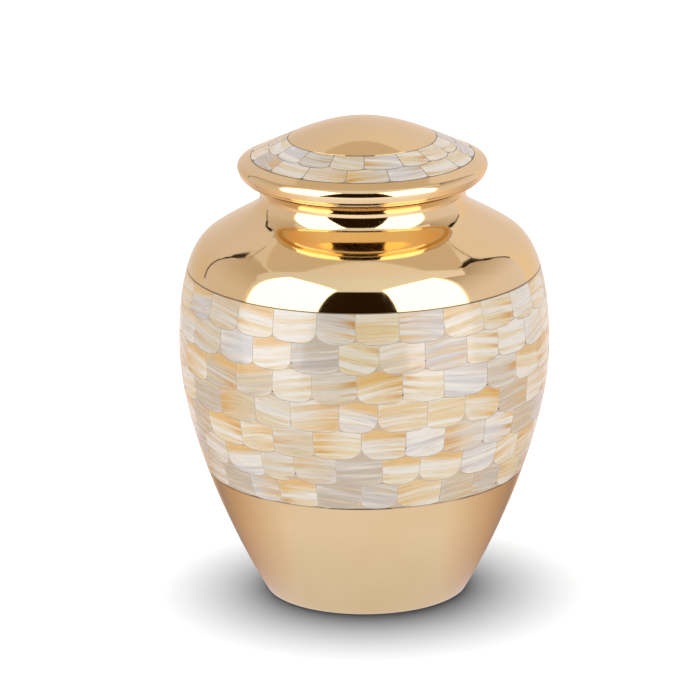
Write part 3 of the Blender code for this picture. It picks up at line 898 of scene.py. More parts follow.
upper_number = add_node(lay, "ShaderNodeMath", {0: seen_above}, operation="ROUND")
left, right, above = [
    add_node(lay, "GeometryNodeGroup", {
        "Joint": joint, "Tiles": given["Tiles"], "First Joint": first,
        "Wander": given["Wander"], "Seed": seed}, node_tree=joint_place)
    for joint, first, seed in (
        (number, given["First Joint"], given["Seed"]),
        (next_number, given["First Joint"], given["Seed"]),
        (upper_number, given["First Joint Above"], upper_seed))]
gap = add_node(lay, "ShaderNodeMath", {0: given["Joint Width"], 1: 0.5}, operation="MULTIPLY")
gap_angle = add_node(lay, "ShaderNodeMath", {0: gap, 1: radius}, operation="DIVIDE")
left_end = add_node(lay, "ShaderNodeMath", {0: left.outputs["Angle"], 1: gap_angle},
                    operation="ADD")
right_end = add_node(lay, "ShaderNodeMath", {0: right.outputs["Angle"], 1: gap_angle},
                     operation="SUBTRACT")
angle = add_node(lay, "ShaderNodeMapRange", {"Value": across, "To Min": left_end,
                                             "To Max": right_end})
distances = []
for joint in (left, right, above):
    turn_from = add_node(lay, "ShaderNodeMath", {0: angle, 1: joint.outputs["Angle"]},
                         operation="SUBTRACT")
    size = add_node(lay, "ShaderNodeMath", {0: turn_from}, operation="ABSOLUTE")
    distances.append(add_node(lay, "ShaderNodeMath", {0: size, 1: radius}, operation="MULTIPLY"))
nearest = add_node(lay, "ShaderNodeMath", {0: distances[0], 1: distances[1]}, operation="MINIMUM")
is_left = add_node(lay, "FunctionNodeCompare", {0: distances[0], 1: distances[1]},
                   operation="LESS_THAN")
nearest_notch = add_node(lay, "GeometryNodeSwitch", {
    "Switch": is_left, "False": right.outputs["Notch"], "True": left.outputs["Notch"]},
    input_type="FLOAT")
print("tree:", lay.name, "with", len(lay.nodes), "nodes so far")

# %% [markdown]
# The lower edge comes from the tile's own joints, and the upper edge from the joint above. Every
# point of a block lies somewhere between the two.

# %% Tree: lower and upper edge
half_turn = add_node(lay, "ShaderNodeMath", {0: math.pi, 1: given["Tiles"]}, operation="DIVIDE")
half_tile = add_node(lay, "ShaderNodeMath", {0: half_turn, 1: radius}, operation="MULTIPLY")
edges = [
    add_node(lay, "GeometryNodeGroup", {
        "Distance": distance, "Half Tile": half_tile, "Notch": notch,
        "Least Notch": given["Least Notch"], "Most Notch": given["Most Notch"],
        "Corner": given["Corner"], "Bulge": bulge}, node_tree=scale_edge)
    for distance, notch, bulge in (
        (nearest, nearest_notch, given["Lower Bulge"]),
        (distances[2], above.outputs["Notch"], given["Upper Bulge"]))]
low_end = add_node(lay, "ShaderNodeMath", {0: given["Low"], 1: gap}, operation="ADD")
low_end = add_node(lay, "ShaderNodeMath", {0: low_end, 1: edges[0]}, operation="ADD")
top_rise = add_node(lay, "ShaderNodeMath", {0: edges[1], 1: given["Top Limit"]},
                    operation="MINIMUM")
high_end = add_node(lay, "ShaderNodeMath", {0: given["High"], 1: gap}, operation="SUBTRACT")
high_end = add_node(lay, "ShaderNodeMath", {0: high_end, 1: top_rise}, operation="ADD")
along = add_node(lay, "ShaderNodeMapRange", {"Value": up, "To Min": low_end, "To Max": high_end})
shaken = add_node(lay, "GeometryNodeGroup", {
    "Angle": angle, "Radius": radius, "Level": along, "Inlay Start": given["Inlay Start"],
    "Inlay End": given["Inlay End"], "Amount": given["Hand"]}, node_tree=hand)
final_angle = add_node(lay, "ShaderNodeMath", {0: angle, 1: shaken.outputs["Turn"]},
                       operation="ADD")
final_along = add_node(lay, "ShaderNodeMath", {0: along, 1: shaken.outputs["Slip"]},
                       operation="ADD")
print("tree:", lay.name, "with", len(lay.nodes), "nodes so far")

# %% [markdown]
# Before the blocks are wrapped, each point notes where it lies on its tile, in millimetres, how far
# it is from the tile's edge, and its tile's random numbers. The shell finish reads these notes.

# %% Tree: notes for the finish
MILLIMETRES = 1000.0
tile_height = add_node(lay, "ShaderNodeMath", {0: high_end, 1: low_end}, operation="SUBTRACT")
up_mm = add_node(lay, "ShaderNodeMath", {
    0: add_node(lay, "ShaderNodeMath", {0: tile_height, 1: up}, operation="MULTIPLY"),
    1: MILLIMETRES}, operation="MULTIPLY")
height_mm = add_node(lay, "ShaderNodeMath", {0: tile_height, 1: MILLIMETRES},
                     operation="MULTIPLY")
down_mm = add_node(lay, "ShaderNodeMath", {0: height_mm, 1: up_mm}, operation="SUBTRACT")
side_mm = add_node(lay, "ShaderNodeMath", {
    0: add_node(lay, "ShaderNodeMath", {0: nearest, 1: gap}, operation="SUBTRACT"),
    1: MILLIMETRES}, operation="MULTIPLY")
end_mm = add_node(lay, "ShaderNodeMath", {0: up_mm, 1: down_mm}, operation="MINIMUM")
edge_mm = add_node(lay, "ShaderNodeMath", {0: side_mm, 1: end_mm}, operation="MINIMUM")
centred = add_node(lay, "ShaderNodeMath", {0: across, 1: -0.5}, operation="ADD")
width_mm = add_node(lay, "ShaderNodeMath", {0: half_tile, 1: 2 * MILLIMETRES},
                    operation="MULTIPLY")
across_mm = add_node(lay, "ShaderNodeMath", {0: centred, 1: width_mm}, operation="MULTIPLY")
climb = add_node(lay, "ShaderNodeMath", {0: along, 1: given["Low"]}, operation="SUBTRACT")
climb_mm = add_node(lay, "ShaderNodeMath", {0: climb, 1: MILLIMETRES}, operation="MULTIPLY")
note = add_node(lay, "ShaderNodeCombineXYZ", {0: across_mm, 1: climb_mm, 2: edge_mm})
cornered = add_node(lay, "GeometryNodeSetShadeSmooth", {
    "Geometry": blocks, "Selection": is_rim, "Shade Smooth": False}, domain="EDGE")
noted = add_node(lay, "GeometryNodeStoreNamedAttribute", {
    "Geometry": cornered, "Name": "tile_place", "Value": note},
    data_type="FLOAT_VECTOR", domain="POINT")
for name, draw in (("tile_chance", CHANCE_DRAW), ("tile_more", MORE_DRAW)):
    own_seed = add_node(lay, "ShaderNodeMath", {0: given["Seed"], 1: draw}, operation="ADD")
    numbers = add_node(lay, "FunctionNodeRandomValue", {
        0: (0.0, 0.0, 0.0), 1: (1.0, 1.0, 1.0), "ID": number, "Seed": own_seed},
        data_type="FLOAT_VECTOR")
    noted = add_node(lay, "GeometryNodeStoreNamedAttribute", {
        "Geometry": noted, "Name": name, "Value": numbers},
        data_type="FLOAT_VECTOR", domain="POINT")
print("tree:", lay.name, "with", len(lay.nodes), "nodes so far")

# %% [markdown]
# Last comes the wrap. The direction of the line at a place gives the direction out of the brass
# there. The face of a tile lies flush, and each tile leans a few hundredths of a millimetre its own
# way, which breaks up the shine of the band.

# %% Tree: wrap the row round the urn
landed = add_node(lay, "GeometryNodeSampleCurve", {"Curves": line_curve, "Length": final_along},
                  mode="LENGTH")
spot = add_node(lay, "ShaderNodeSeparateXYZ", {0: landed.outputs["Position"]})
course = add_node(lay, "ShaderNodeSeparateXYZ", {0: landed.outputs["Tangent"]})
lean_seed = add_node(lay, "ShaderNodeMath", {0: given["Seed"], 1: LEAN_DRAW}, operation="ADD")
lean = add_node(lay, "ShaderNodeSeparateXYZ", {0: add_node(lay, "FunctionNodeRandomValue", {
    0: (-1.0, -1.0, 0.0), 1: (1.0, 1.0, 0.0), "ID": number, "Seed": lean_seed},
    data_type="FLOAT_VECTOR")})
raised = add_node(lay, "ShaderNodeMath", {
    0: add_node(lay, "ShaderNodeMath", {0: raw_across, 1: lean.outputs[0]}, operation="MULTIPLY"),
    1: add_node(lay, "ShaderNodeMath", {0: flat.outputs[1], 1: lean.outputs[1]},
                operation="MULTIPLY")}, operation="ADD")
sunk = add_node(lay, "ShaderNodeMath", {0: raised, 1: 1.0}, operation="SUBTRACT")
leaned = add_node(lay, "ShaderNodeMath", {0: sunk, 1: given["Lean"]}, operation="MULTIPLY")
back_height = add_node(lay, "ShaderNodeMath", {0: given["Thickness"], 1: -1.0},
                       operation="MULTIPLY")
height = add_node(lay, "ShaderNodeMapRange", {
    "Value": flat.outputs[2], "From Min": -0.5, "From Max": 0.5, "To Min": back_height,
    "To Max": leaned})
out_from_axis = add_node(lay, "ShaderNodeMath", {
    0: height, 1: course.outputs[2], 2: spot.outputs[0]}, operation="MULTIPLY_ADD")
down_again = add_node(lay, "ShaderNodeMath", {0: course.outputs[0], 1: -1.0},
                      operation="MULTIPLY")
final_height = add_node(lay, "ShaderNodeMath", {
    0: height, 1: down_again, 2: spot.outputs[2]}, operation="MULTIPLY_ADD")
sine = add_node(lay, "ShaderNodeMath", {0: final_angle}, operation="SINE")
cosine = add_node(lay, "ShaderNodeMath", {0: final_angle}, operation="COSINE")
front = add_node(lay, "ShaderNodeMath", {0: out_from_axis, 1: -1.0}, operation="MULTIPLY")
wrapped = add_node(lay, "GeometryNodeSetPosition", {
    "Geometry": noted,
    "Position": add_node(lay, "ShaderNodeCombineXYZ", {
        0: add_node(lay, "ShaderNodeMath", {0: out_from_axis, 1: sine}, operation="MULTIPLY"),
        1: add_node(lay, "ShaderNodeMath", {0: front, 1: cosine}, operation="MULTIPLY"),
        2: final_height})})
smooth = add_node(lay, "GeometryNodeSetShadeSmooth", {"Geometry": wrapped})
real = add_node(lay, "GeometryNodeRealizeInstances", {"Geometry": smooth})
finished = add_node(lay, "GeometryNodeSetMaterial", {
    "Geometry": real, "Material": given["Finish"]})
add_node(lay, "NodeGroupOutput", {"Geometry": finished})
print("tree:", lay.name, "has", len(lay.nodes), "nodes")

# %% [markdown]
# Pits
# Here and there the resin has a small dark pit at a joint. A second tree sets a flattened dark bead at
# some joints of a course. It asks the same group for the place of a joint, so the beads follow the
# joints. A bead has few faces, since it is no bigger than a pinhead.

# %% Tree: places of the pits
PIT_PLACES = (0.06, 0.40)               # shares of a course's height
PIT_SIZES = (0.00022, 0.00048)          # radii
PIT_SINK, PIT_FLATNESS = 0.00010, 0.3
pits, given = new_tree(
    "pits along a course",
    {"Geometry": SHAPE, "Tiles": WHOLE, "First Joint": NUMBER, "Seed": WHOLE, "Low": NUMBER,
     "High": NUMBER, "Inlay Start": NUMBER, "Inlay End": NUMBER, "Wander": NUMBER,
     "Hand": NUMBER, "Spared": NUMBER, "Finish": "NodeSocketMaterial"},
    {"Geometry": SHAPE})
line_curve = add_node(pits, "GeometryNodeMeshToCurve", {"Mesh": given["Geometry"]})
points = add_node(pits, "GeometryNodeMeshLine", {"Count": given["Tiles"]})
number = add_node(pits, "GeometryNodeInputIndex")
joint = add_node(pits, "GeometryNodeGroup", {
    "Joint": number, "Tiles": given["Tiles"], "First Joint": given["First Joint"],
    "Wander": given["Wander"], "Seed": given["Seed"]}, node_tree=joint_place)
chances = []
for (low, high), draw in ((PIT_PLACES, PIT_PLACE_DRAW), (PIT_SIZES, PIT_SIZE_DRAW),
                          ((0.0, 1.0), PIT_LUCK_DRAW)):
    own_seed = add_node(pits, "ShaderNodeMath", {0: given["Seed"], 1: draw}, operation="ADD")
    chances.append(add_node(pits, "FunctionNodeRandomValue", {
        2: low, 3: high, "ID": number, "Seed": own_seed}))
share, size, luck = chances
level = add_node(pits, "ShaderNodeMapRange", {
    "Value": share, "To Min": given["Low"], "To Max": given["High"]})
on_line = add_node(pits, "GeometryNodeSampleCurve", {"Curves": line_curve, "Length": level},
                   mode="LENGTH")
spot = add_node(pits, "ShaderNodeSeparateXYZ", {0: on_line.outputs["Position"]})
course = add_node(pits, "ShaderNodeSeparateXYZ", {0: on_line.outputs["Tangent"]})
shaken = add_node(pits, "GeometryNodeGroup", {
    "Angle": joint.outputs["Angle"], "Radius": spot.outputs[0], "Level": level,
    "Inlay Start": given["Inlay Start"], "Inlay End": given["Inlay End"],
    "Amount": given["Hand"]}, node_tree=hand)
angle = add_node(pits, "ShaderNodeMath", {0: joint.outputs["Angle"], 1: shaken.outputs["Turn"]},
                 operation="ADD")
print("tree:", pits.name, "with", len(pits.nodes), "nodes so far")

# %% [markdown]
# A bead lies flat on the urn's line at its joint, sunk a little into the resin, and only at the
# joints that have the bad luck.

# %% Tree: the beads
sine = add_node(pits, "ShaderNodeMath", {0: angle}, operation="SINE")
cosine = add_node(pits, "ShaderNodeMath", {0: angle}, operation="COSINE")
behind = add_node(pits, "ShaderNodeMath", {0: cosine, 1: -1.0}, operation="MULTIPLY")
around = add_node(pits, "ShaderNodeCombineXYZ", {0: sine, 1: behind})
falling = add_node(pits, "ShaderNodeMath", {0: course.outputs[0], 1: -1.0}, operation="MULTIPLY")
outward = add_node(pits, "ShaderNodeVectorMath", {
    0: add_node(pits, "ShaderNodeVectorMath", {0: around, "Scale": course.outputs[2]},
                operation="SCALE"),
    1: add_node(pits, "ShaderNodeCombineXYZ", {2: falling})}, operation="ADD")
on_face = add_node(pits, "ShaderNodeVectorMath", {
    0: add_node(pits, "ShaderNodeVectorMath", {0: around, "Scale": spot.outputs[0]},
                operation="SCALE"),
    1: add_node(pits, "ShaderNodeCombineXYZ", {2: spot.outputs[2]})}, operation="ADD")
sunk = add_node(pits, "ShaderNodeVectorMath", {0: outward, "Scale": -PIT_SINK}, operation="SCALE")
set_out = add_node(pits, "GeometryNodeSetPosition", {
    "Geometry": points,
    "Position": add_node(pits, "ShaderNodeVectorMath", {0: on_face, 1: sunk}, operation="ADD")})
chosen = add_node(pits, "FunctionNodeCompare", {0: luck, 1: given["Spared"]},
                  operation="GREATER_THAN")
bead = add_node(pits, "GeometryNodeMeshUVSphere", {"Segments": 8, "Rings": 4, "Radius": 1.0})
flat_size = add_node(pits, "ShaderNodeVectorMath", {
    0: (1.0, 1.0, PIT_FLATNESS), "Scale": size}, operation="SCALE")
beads = add_node(pits, "GeometryNodeInstanceOnPoints", {
    "Points": set_out, "Selection": chosen, "Instance": bead,
    "Rotation": add_node(pits, "FunctionNodeAlignRotationToVector", {"Vector": outward}, axis="Z"),
    "Scale": flat_size})
real = add_node(pits, "GeometryNodeRealizeInstances", {"Geometry": beads})
finished = add_node(pits, "GeometryNodeSetMaterial", {
    "Geometry": real, "Material": given["Finish"]})
add_node(pits, "NodeGroupOutput", {"Geometry": finished})

# Dark brown finish of the beads that mark the pits.
dark_pit_finish, dark_pit_tree = new_material("dark bead in a pit")
add_node(dark_pit_tree, "ShaderNodeOutputMaterial", {
    "Surface": add_node(dark_pit_tree, "ShaderNodeBsdfPrincipled", {
        "Base Color": linear("3A2A1A"), "Roughness": 0.7, "IOR": 1.5})})
print("tree:", pits.name, "has", len(pits.nodes), "nodes")

# %% [markdown]
# Laying the band and the ring
# A tree is put to work by a modifier. Its inputs are set by the identifiers of their sockets, before
# Blender works the object out for the first time. The result is then taken as a plain mesh, because
# a mesh is what another program can read. The top course of an inlay has nothing above it but
# brass, so its upper edge runs straight, and the lowest course doesn't bulge into the brass below.


# %% Put a tree to work
def laid(name, line, tree, values):
    """Mesh that a tree makes from a line."""
    mesh = bpy.data.meshes.new(name)
    mesh.from_pydata([(p.x, 0.0, p.y) for p in line], [(i, i + 1) for i in range(len(line) - 1)], [])
    worker = bpy.data.objects.new(name, mesh)
    scene.collection.objects.link(worker)
    modifier = worker.modifiers.new(tree.name, "NODES")
    modifier.node_group = tree
    sockets = {item.name: item.identifier for item in tree.interface.items_tree
               if item.in_out == "INPUT"}
    for socket, value in values.items():
        modifier[sockets[socket]] = value
    depsgraph = bpy.context.evaluated_depsgraph_get()
    result = bpy.data.meshes.new_from_object(worker.evaluated_get(depsgraph))
    worker.modifiers.remove(modifier)
    bpy.data.objects.remove(worker)
    bpy.data.meshes.remove(mesh)
    result.name = name
    return result


JOINT, LID_JOINT = 0.00034, 0.00050     # width of the resin between tiles
SEAM = 0.00040                          # width of the resin between tiles and brass
TILE_THICKNESS, TILE_LEAN = 0.0007, 0.00002
WANDER = 0.09                           # of a joint, in tiles
UNPITTED = 0.72                         # share of the joints that have no pit
BAND_COURSES, BAND_TILES = 7, 26
LID_COURSES, LID_TILES = 2, 16
BAND_CUT = {"Tiles": BAND_TILES, "Joint Width": JOINT, "Wander": WANDER, "Hand": 0.0011,
            "Least Notch": 0.0012, "Most Notch": 0.0072, "Corner": 0.0036}
LID_CUT = {"Tiles": LID_TILES, "Joint Width": LID_JOINT, "Wander": WANDER, "Hand": 0.0010,
           "Least Notch": 0.0010, "Most Notch": 0.0034, "Corner": 0.0026}
BULGE, TOP_LIMIT = 0.0006, 0.0015
LID_BULGE, LID_TOP_LIMIT = 0.0007, 0.0020
BAND_FIRST_JOINT = math.radians(-2.3)   # of the odd courses, to the right of the front
LID_FIRST_JOINT = math.radians(-9.5)    # of the outer course


def first_joint(first, tiles, course):
    """Angle of a course's first joint; every second course is turned by half a tile."""
    return first + (0 if course % 2 else math.pi / tiles)


print("courses of the band and of the lid:", BAND_COURSES, LID_COURSES)

# %% [markdown]
# Now the courses are laid one by one, from the foot up and from the rim in. Each course draws its
# random numbers from a seed of its own, and its upper edge follows the joints of the course above.


# %% Lay the courses
def lay_inlay(name, line, start, end, courses, first, seed, cut, bulge, limit):
    """All courses of one inlay, each a piece of its own."""
    for course in range(1, courses + 1):
        low = start + (end - start) * (course - 1) / courses
        high = start + (end - start) * course / courses
        lowest, highest = course == 1, course == courses
        values = dict(cut)
        values.update({
            "First Joint": first_joint(first, cut["Tiles"], course),
            "First Joint Above": first_joint(first, cut["Tiles"], course + 1),
            "Seed": seed + course, "Inlay Start": start, "Inlay End": end,
            "Low": low + (SEAM - cut["Joint Width"] / 2 if lowest else 0.0),
            "High": high - (SEAM - cut["Joint Width"] / 2 if highest else 0.0),
            "Lower Bulge": 0.0 if lowest else bulge, "Upper Bulge": 0.0 if highest else bulge,
            "Top Limit": 0.0 if highest else limit, "Thickness": TILE_THICKNESS,
            "Lean": TILE_LEAN, "Finish": shell})
        finish_piece("%s_tiles_%d" % (name, course),
                     laid("%s_tiles_%d" % (name, course), line, lay, values),
                     ["%s_shell_course_%d" % (name, course)])
        pit_values = {socket: values[socket] for socket in (
            "Tiles", "First Joint", "Seed", "Low", "High", "Inlay Start", "Inlay End", "Wander",
            "Hand")}
        pit_values.update({"Spared": UNPITTED, "Finish": dark_pit_finish})
        finish_piece("%s_pits_%d" % (name, course),
                     laid("%s_pits_%d" % (name, course), line, pits, pit_values), ())


lay_inlay("band", BODY, band_start, band_end, BAND_COURSES, BAND_FIRST_JOINT, 11,
          BAND_CUT, BULGE, TOP_LIMIT)
lay_inlay("lid", LID, ring_start, ring_end, LID_COURSES, LID_FIRST_JOINT, 31,
          LID_CUT, LID_BULGE, LID_TOP_LIMIT)

# %% [markdown]
# The studio
# The urn stands on a white sheet under soft light. Polished brass mirrors the whole room, so the
# room matters more than the lamps: two tall soft boxes in front, a dark gap between them where the
# camera stands, duller screens at both sides and a pale ceiling. They are far away compared
# with the urn, so each is given by its direction from the urn's neck.
# Sheets that are there to be mirrored are hidden from the camera and give no light to dull surfaces.
# Dull surfaces see the pale room instead, which lights the shell evenly, as in the photograph.

# %% Light for mirrors
ROOM_RADIUS = 2.2
FADE_FROM, FADE_TO = 12, 43             # elevations between which a screen fades


def in_direction(azimuth, elevation, distance=ROOM_RADIUS):
    """Point in a direction from the urn's neck; azimuth is counted from the front to the right."""
    a, e = math.radians(azimuth), math.radians(elevation)
    return Vector((distance * math.sin(a) * math.cos(e), -distance * math.cos(a) * math.cos(e),
                   NECK_HEIGHT + distance * math.sin(e)))


def seen_by_dull(tree):
    """Socket that is 1 for a ray that has left a dull surface, and else 0."""
    path = add_node(tree, "ShaderNodeLightPath")
    return add_node(tree, "ShaderNodeMath", {0: path.outputs["Diffuse Depth"], 1: 1.0},
                    operation="MINIMUM").outputs[0]


def glow_in_mirrors(material, tree, colour, strength):
    """Gives the material a glow that mirrors show and dull surfaces don't gather."""
    power = add_node(tree, "ShaderNodeMix", {0: seen_by_dull(tree), 2: strength, 3: 0.0},
                     data_type="FLOAT")
    glow = add_node(tree, "ShaderNodeEmission", {"Color": colour, "Strength": power})
    add_node(tree, "ShaderNodeOutputMaterial", {"Surface": glow})
    material.cycles.emission_sampling = "NONE"
    return material


def mirrored_light(name, hex_colour, strength, upper=None):
    """Evenly glowing sheet, or one that fades to an upper colour and strength."""
    material, tree = new_material(name)
    colour = linear(hex_colour)
    if upper:
        place = add_node(tree, "ShaderNodeTexCoord").outputs["Object"]
        height = add_node(tree, "ShaderNodeSeparateXYZ", {0: place}).outputs[2]
        higher = add_node(tree, "ShaderNodeMapRange", {
            "Value": height, "From Min": in_direction(0, FADE_FROM).z,
            "From Max": in_direction(0, FADE_TO).z})
        colour = add_node(tree, "ShaderNodeMix", {
            0: higher, 6: colour, 7: linear(upper[0])}, data_type="RGBA")
        strength = add_node(tree, "ShaderNodeMix", {0: higher, 2: strength, 3: upper[1]},
                            data_type="FLOAT")
    return glow_in_mirrors(material, tree, colour, strength)


print("screens fade between", FADE_FROM, "and", FADE_TO, "degrees up")

# %% [markdown]
# A sheet of the studio is a flat mesh. The floor is the one that the camera sees. All the others
# only show in mirrors, so they neither block the camera's view nor throw a shadow.


# %% Sheets
def stage_sheet(name, corners, faces, material, mirror_only=True):
    """Sheet of the studio. Most are only seen in mirrors."""
    mesh = bpy.data.meshes.new(name)
    mesh.from_pydata(corners, [], faces)
    mesh.materials.append(material)
    sheet = bpy.data.objects.new(name, mesh)
    scene.collection.objects.link(sheet)
    sheet.visible_glossy = mirror_only
    sheet.visible_camera = sheet.visible_diffuse = sheet.visible_shadow = not mirror_only
    sheet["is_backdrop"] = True
    return sheet


print("sheets hang", ROOM_RADIUS, "m away from the urn's neck")

# %% [markdown]
# The soft boxes lean inwards at the top, which the slanting sides of their mirror images show. The
# gap hangs just behind them. The screens stand at the sides and catch less light towards their tops,
# and thin dark edges run round them.

# %% Soft boxes, gap and screens
soft_light = mirrored_light("soft box", "E9EBFF", 3.5)
dark = mirrored_light("dark gap", "3A2814", 0.5)
screen_light = mirrored_light("left screen", "F3EAF8", 0.90, ("FFEEF0", 0.64))
brighter_screen = mirrored_light("right screen", "EDE9FF", 1.06, ("F5E5E9", 0.62))
panel_light = mirrored_light("ceiling panel", "F5E6E4", 0.80)
for name, directions, finish, distance in (
        ("soft_box_left", ((-78, -30), (-38, -30), (-22, 47), (-83, 58)), soft_light, 1.0),
        ("soft_box_right", ((28, -30), (68, -30), (72, 56), (15, 47)), soft_light, 1.0),
        ("gap_between_boxes", ((-50, -30), (36, -30), (15, 44), (-22, 44)), dark, 1.05),
        ("screen_left", ((-126, -20), (-79, -20), (-86, 34), (-94, 40), (-103, 52), (-117, 53),
                         (-131, 50), (-139, 42), (-134, 28), (-128, 8)), screen_light, 1.0),
        ("screen_right", ((69, -20), (124, -20), (127, 20), (132, 41), (129, 50), (113, 52),
                          (104, 50), (90, 42), (75, 50)), brighter_screen, 1.0),
        ("panel_behind", ((144, 49), (-142, 48), (-107, 55), (105, 52)), panel_light, 1.0)):
    stage_sheet(name, [in_direction(*d, ROOM_RADIUS * distance) for d in directions],
                [tuple(range(len(directions)))], finish)


def dark_edge(name, directions, width):
    """Narrow dark sheet along some directions; its width is in degrees."""
    middle = [in_direction(*d, ROOM_RADIUS * 0.95) for d in directions]
    corners = []
    for i, point in enumerate(middle):
        along = middle[min(i + 1, len(middle) - 1)] - middle[max(i - 1, 0)]
        aside = along.cross(point - Vector((0, 0, NECK_HEIGHT))).normalized()
        aside *= ROOM_RADIUS * math.radians(width) / 2
        corners += [point - aside, point + aside]
    faces = [(2 * i, 2 * i + 1, 2 * i + 3, 2 * i + 2) for i in range(len(middle) - 1)]
    return stage_sheet(name, corners, faces, dark)


for name, directions, width in (
        ("edge_left", ((-139, 41), (-140, 35), (-135, 30)), 2.4),
        ("edge_left_low", ((-135, 30), (-133, 28), (-129, 18), (-127, 8), (-125, 3)), 1.4),
        ("edge_left_high", ((-142, 45), (-140, 44), (-136, 43)), 0.4),
        ("edge_right", ((132, 42), (132, 46), (128, 50), (113, 52)), 3.0),
        ("edge_right_middle", ((128, 22), (130, 32), (132, 42)), 4.5),
        ("edge_right_low", ((128, 22), (126, 15), (125, 12), (123, 5)), 1.6),
        ("edge_right_high", ((141, 49), (138, 48), (134, 46)), 0.5)):
    dark_edge(name, directions, width)

# %% [markdown]
# The table is a disc that is brightest in front of the urn. It dims to a warmer grey towards the sides
# and behind, and rises again straight behind, under the pale back wall. Close round the foot it is
# dimmer, a painted shadow of the urn. Further out it is lighter and cooler all round.

# %% Table
TABLE_RADIUS = 0.55
table_light, table_tree = new_material("lit table")
table_place = add_node(table_tree, "ShaderNodeTexCoord").outputs["Object"]
from_axis = add_node(table_tree, "ShaderNodeVectorMath", {0: table_place}, operation="LENGTH")
ahead = add_node(table_tree, "ShaderNodeVectorMath", {
    0: add_node(table_tree, "ShaderNodeVectorMath", {0: table_place}, operation="NORMALIZE"),
    1: (0.0, -1.0, 0.0)}, operation="DOT_PRODUCT")
# Painted shadow of the urn: the table glows dimmer close round the foot.
near = add_node(table_tree, "ShaderNodeMapRange", {
    "Value": from_axis.outputs["Value"], "From Min": 0.055, "From Max": 0.100, "To Min": 0.84,
    "To Max": 0.97})
facing = add_node(table_tree, "ShaderNodeMapRange", {
    "Value": ahead.outputs["Value"], "From Min": -0.6, "From Max": 0.65, "To Min": 0.44,
    "To Max": 1.20})
behind_it = add_node(table_tree, "ShaderNodeMapRange", {
    "Value": ahead.outputs["Value"], "From Min": -0.55, "From Max": -1.0, "To Max": 0.50})
around = add_node(table_tree, "ShaderNodeMath", {0: facing, 1: behind_it}, operation="ADD")
far = add_node(table_tree, "ShaderNodeMapRange", {
    "Value": from_axis.outputs["Value"], "From Min": 0.15, "From Max": 0.24, "To Max": 0.35})
lit = add_node(table_tree, "ShaderNodeMath", {0: near, 1: around, 2: far},
               operation="MULTIPLY_ADD")
cool_ahead = add_node(table_tree, "ShaderNodeMapRange", {
    "Value": ahead.outputs["Value"], "From Min": -0.2, "From Max": 0.7})
cooler = add_node(table_tree, "ShaderNodeMath", {0: cool_ahead, 1: far}, operation="MAXIMUM")
tint = add_node(table_tree, "ShaderNodeMix", {0: cooler, 6: linear("F5D2BC"), 7: linear("E7E7FF")},
                data_type="RGBA")
glow_in_mirrors(table_light, table_tree, tint, lit)
round_edge = [(TABLE_RADIUS * math.cos(math.radians(a)), TABLE_RADIUS * math.sin(math.radians(a)),
               -0.0002) for a in range(0, 360, 6)]
stage_sheet("table", round_edge, [tuple(range(len(round_edge)))], table_light)
print("table of", TABLE_RADIUS, "m")

# %% [markdown]
# The room round it all is pale. Brass mirrors it a little brighter in front and to the right, cooler
# overhead and warmer towards the horizon. The shell and the floor see a room that is dark at the
# horizon and bright overhead instead, which gives the shell its soft light from above.

# %% Room
DULL_HORIZON, DULL_ZENITH = 0.05, 1.22  # brightness of the room as the shell and the floor see it
world = bpy.data.worlds.new("pale room")
world.use_nodes = True
room = world.node_tree
room.nodes.clear()
direction = add_node(room, "ShaderNodeSeparateXYZ", {
    0: add_node(room, "ShaderNodeTexCoord").outputs["Generated"]})
in_front = add_node(room, "ShaderNodeMapRange", {
    "Value": direction.outputs[1], "From Min": -0.3, "From Max": 0.9, "To Min": 1.21,
    "To Max": 0.90})
behind = add_node(room, "ShaderNodeMapRange", {
    "Value": direction.outputs[1], "From Min": -0.2, "From Max": 0.6})
overhead_tint = add_node(room, "ShaderNodeMix", {
    0: behind, 6: linear("E4E8FF"), 7: linear("F6EEFA")}, data_type="RGBA")
raised = add_node(room, "ShaderNodeMapRange", {
    "Value": direction.outputs[2], "From Min": 0.1, "From Max": 0.5})
mirrored_tint = add_node(room, "ShaderNodeMix", {
    0: raised, 6: linear("F8E9E0"), 7: overhead_tint}, data_type="RGBA")
level = add_node(room, "ShaderNodeMath", {0: direction.outputs[0], 1: 0.13, 2: in_front},
                 operation="MULTIPLY_ADD")
after_dull = seen_by_dull(room)
overhead = add_node(room, "ShaderNodeMapRange", {
    "Value": direction.outputs[2], "To Min": DULL_HORIZON, "To Max": DULL_ZENITH})
strength = add_node(room, "ShaderNodeMix", {0: after_dull, 2: level, 3: overhead},
                    data_type="FLOAT")
colour = add_node(room, "ShaderNodeMix", {
    0: after_dull, 6: mirrored_tint, 7: linear("FFFFFF")}, data_type="RGBA")
pale = add_node(room, "ShaderNodeBackground", {"Color": colour, "Strength": strength})
add_node(room, "ShaderNodeOutputWorld", {"Surface": pale})
world.cycles.sampling_method = "NONE"
scene.world = world
print("room:", world.name)

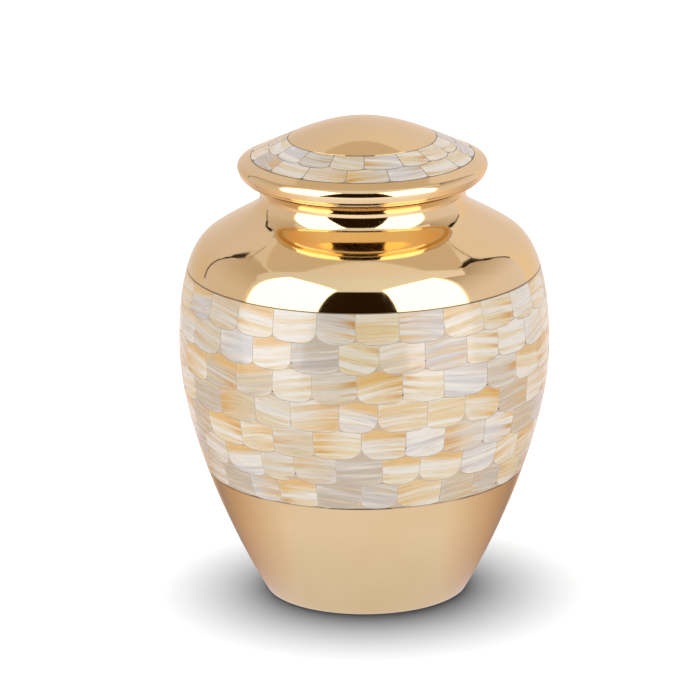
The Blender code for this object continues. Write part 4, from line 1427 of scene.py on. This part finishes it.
# %% [markdown]
# The floor is plain white paper. The light over it is as wide as a lit ceiling, so the shadow is
# soft: it fades from the foot to well past the belly's outline. That light is linked to the floor
# alone, so that its strength can be set by the shadow without flattening the shell.

# %% Floor and ceiling light
CEILING_HEIGHT, CEILING_WIDTH, CEILING_POWER = 8.0, 10.6, 3100.0
paper, paper_tree = new_material("white paper")
grain = add_node(paper_tree, "ShaderNodeTexNoise", {
    "Vector": add_node(paper_tree, "ShaderNodeTexCoord").outputs["Object"], "Scale": 900.0})
paper_bump = add_node(paper_tree, "ShaderNodeBump", {"Distance": 0.00002, "Height": grain})
thrown_back = add_node(paper_tree, "ShaderNodeMix", {
    0: add_node(paper_tree, "ShaderNodeLightPath").outputs["Is Diffuse Ray"],
    6: linear("A0A0A0"), 7: linear("949494")}, data_type="RGBA")
paper_shader = add_node(paper_tree, "ShaderNodeBsdfPrincipled", {
    "Base Color": thrown_back, "Roughness": 0.9, "Normal": paper_bump,
    "Specular IOR Level": 0.0})
add_node(paper_tree, "ShaderNodeOutputMaterial", {"Surface": paper_shader})
FLOOR_HALF = 8.0
floor = stage_sheet(
    "floor", [(-FLOOR_HALF, -FLOOR_HALF, -0.0001), (FLOOR_HALF, -FLOOR_HALF, -0.0001),
              (FLOOR_HALF, FLOOR_HALF, -0.0001), (-FLOOR_HALF, FLOOR_HALF, -0.0001)],
    [(0, 1, 2, 3)], paper, mirror_only=False)
lamp = bpy.data.lights.new("ceiling light", "AREA")
lamp.shape, lamp.size, lamp.energy = "DISK", CEILING_WIDTH, CEILING_POWER
hung = bpy.data.objects.new("ceiling_light", lamp)
hung.location = (-0.3, 1.45, CEILING_HEIGHT)
hung.visible_glossy = hung.visible_camera = False
scene.collection.objects.link(hung)
lit_by_it = bpy.data.collections.new("lit by the ceiling light")
lit_by_it.objects.link(floor)
hung.light_linking.receiver_collection = lit_by_it

# %% [markdown]
# Measure
# The dressed urn must be as big as the plain one. Its box is printed.

# %% Measure and finish
low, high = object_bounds()
print("dressed urn:", [round(v, 4) for v in high - low])
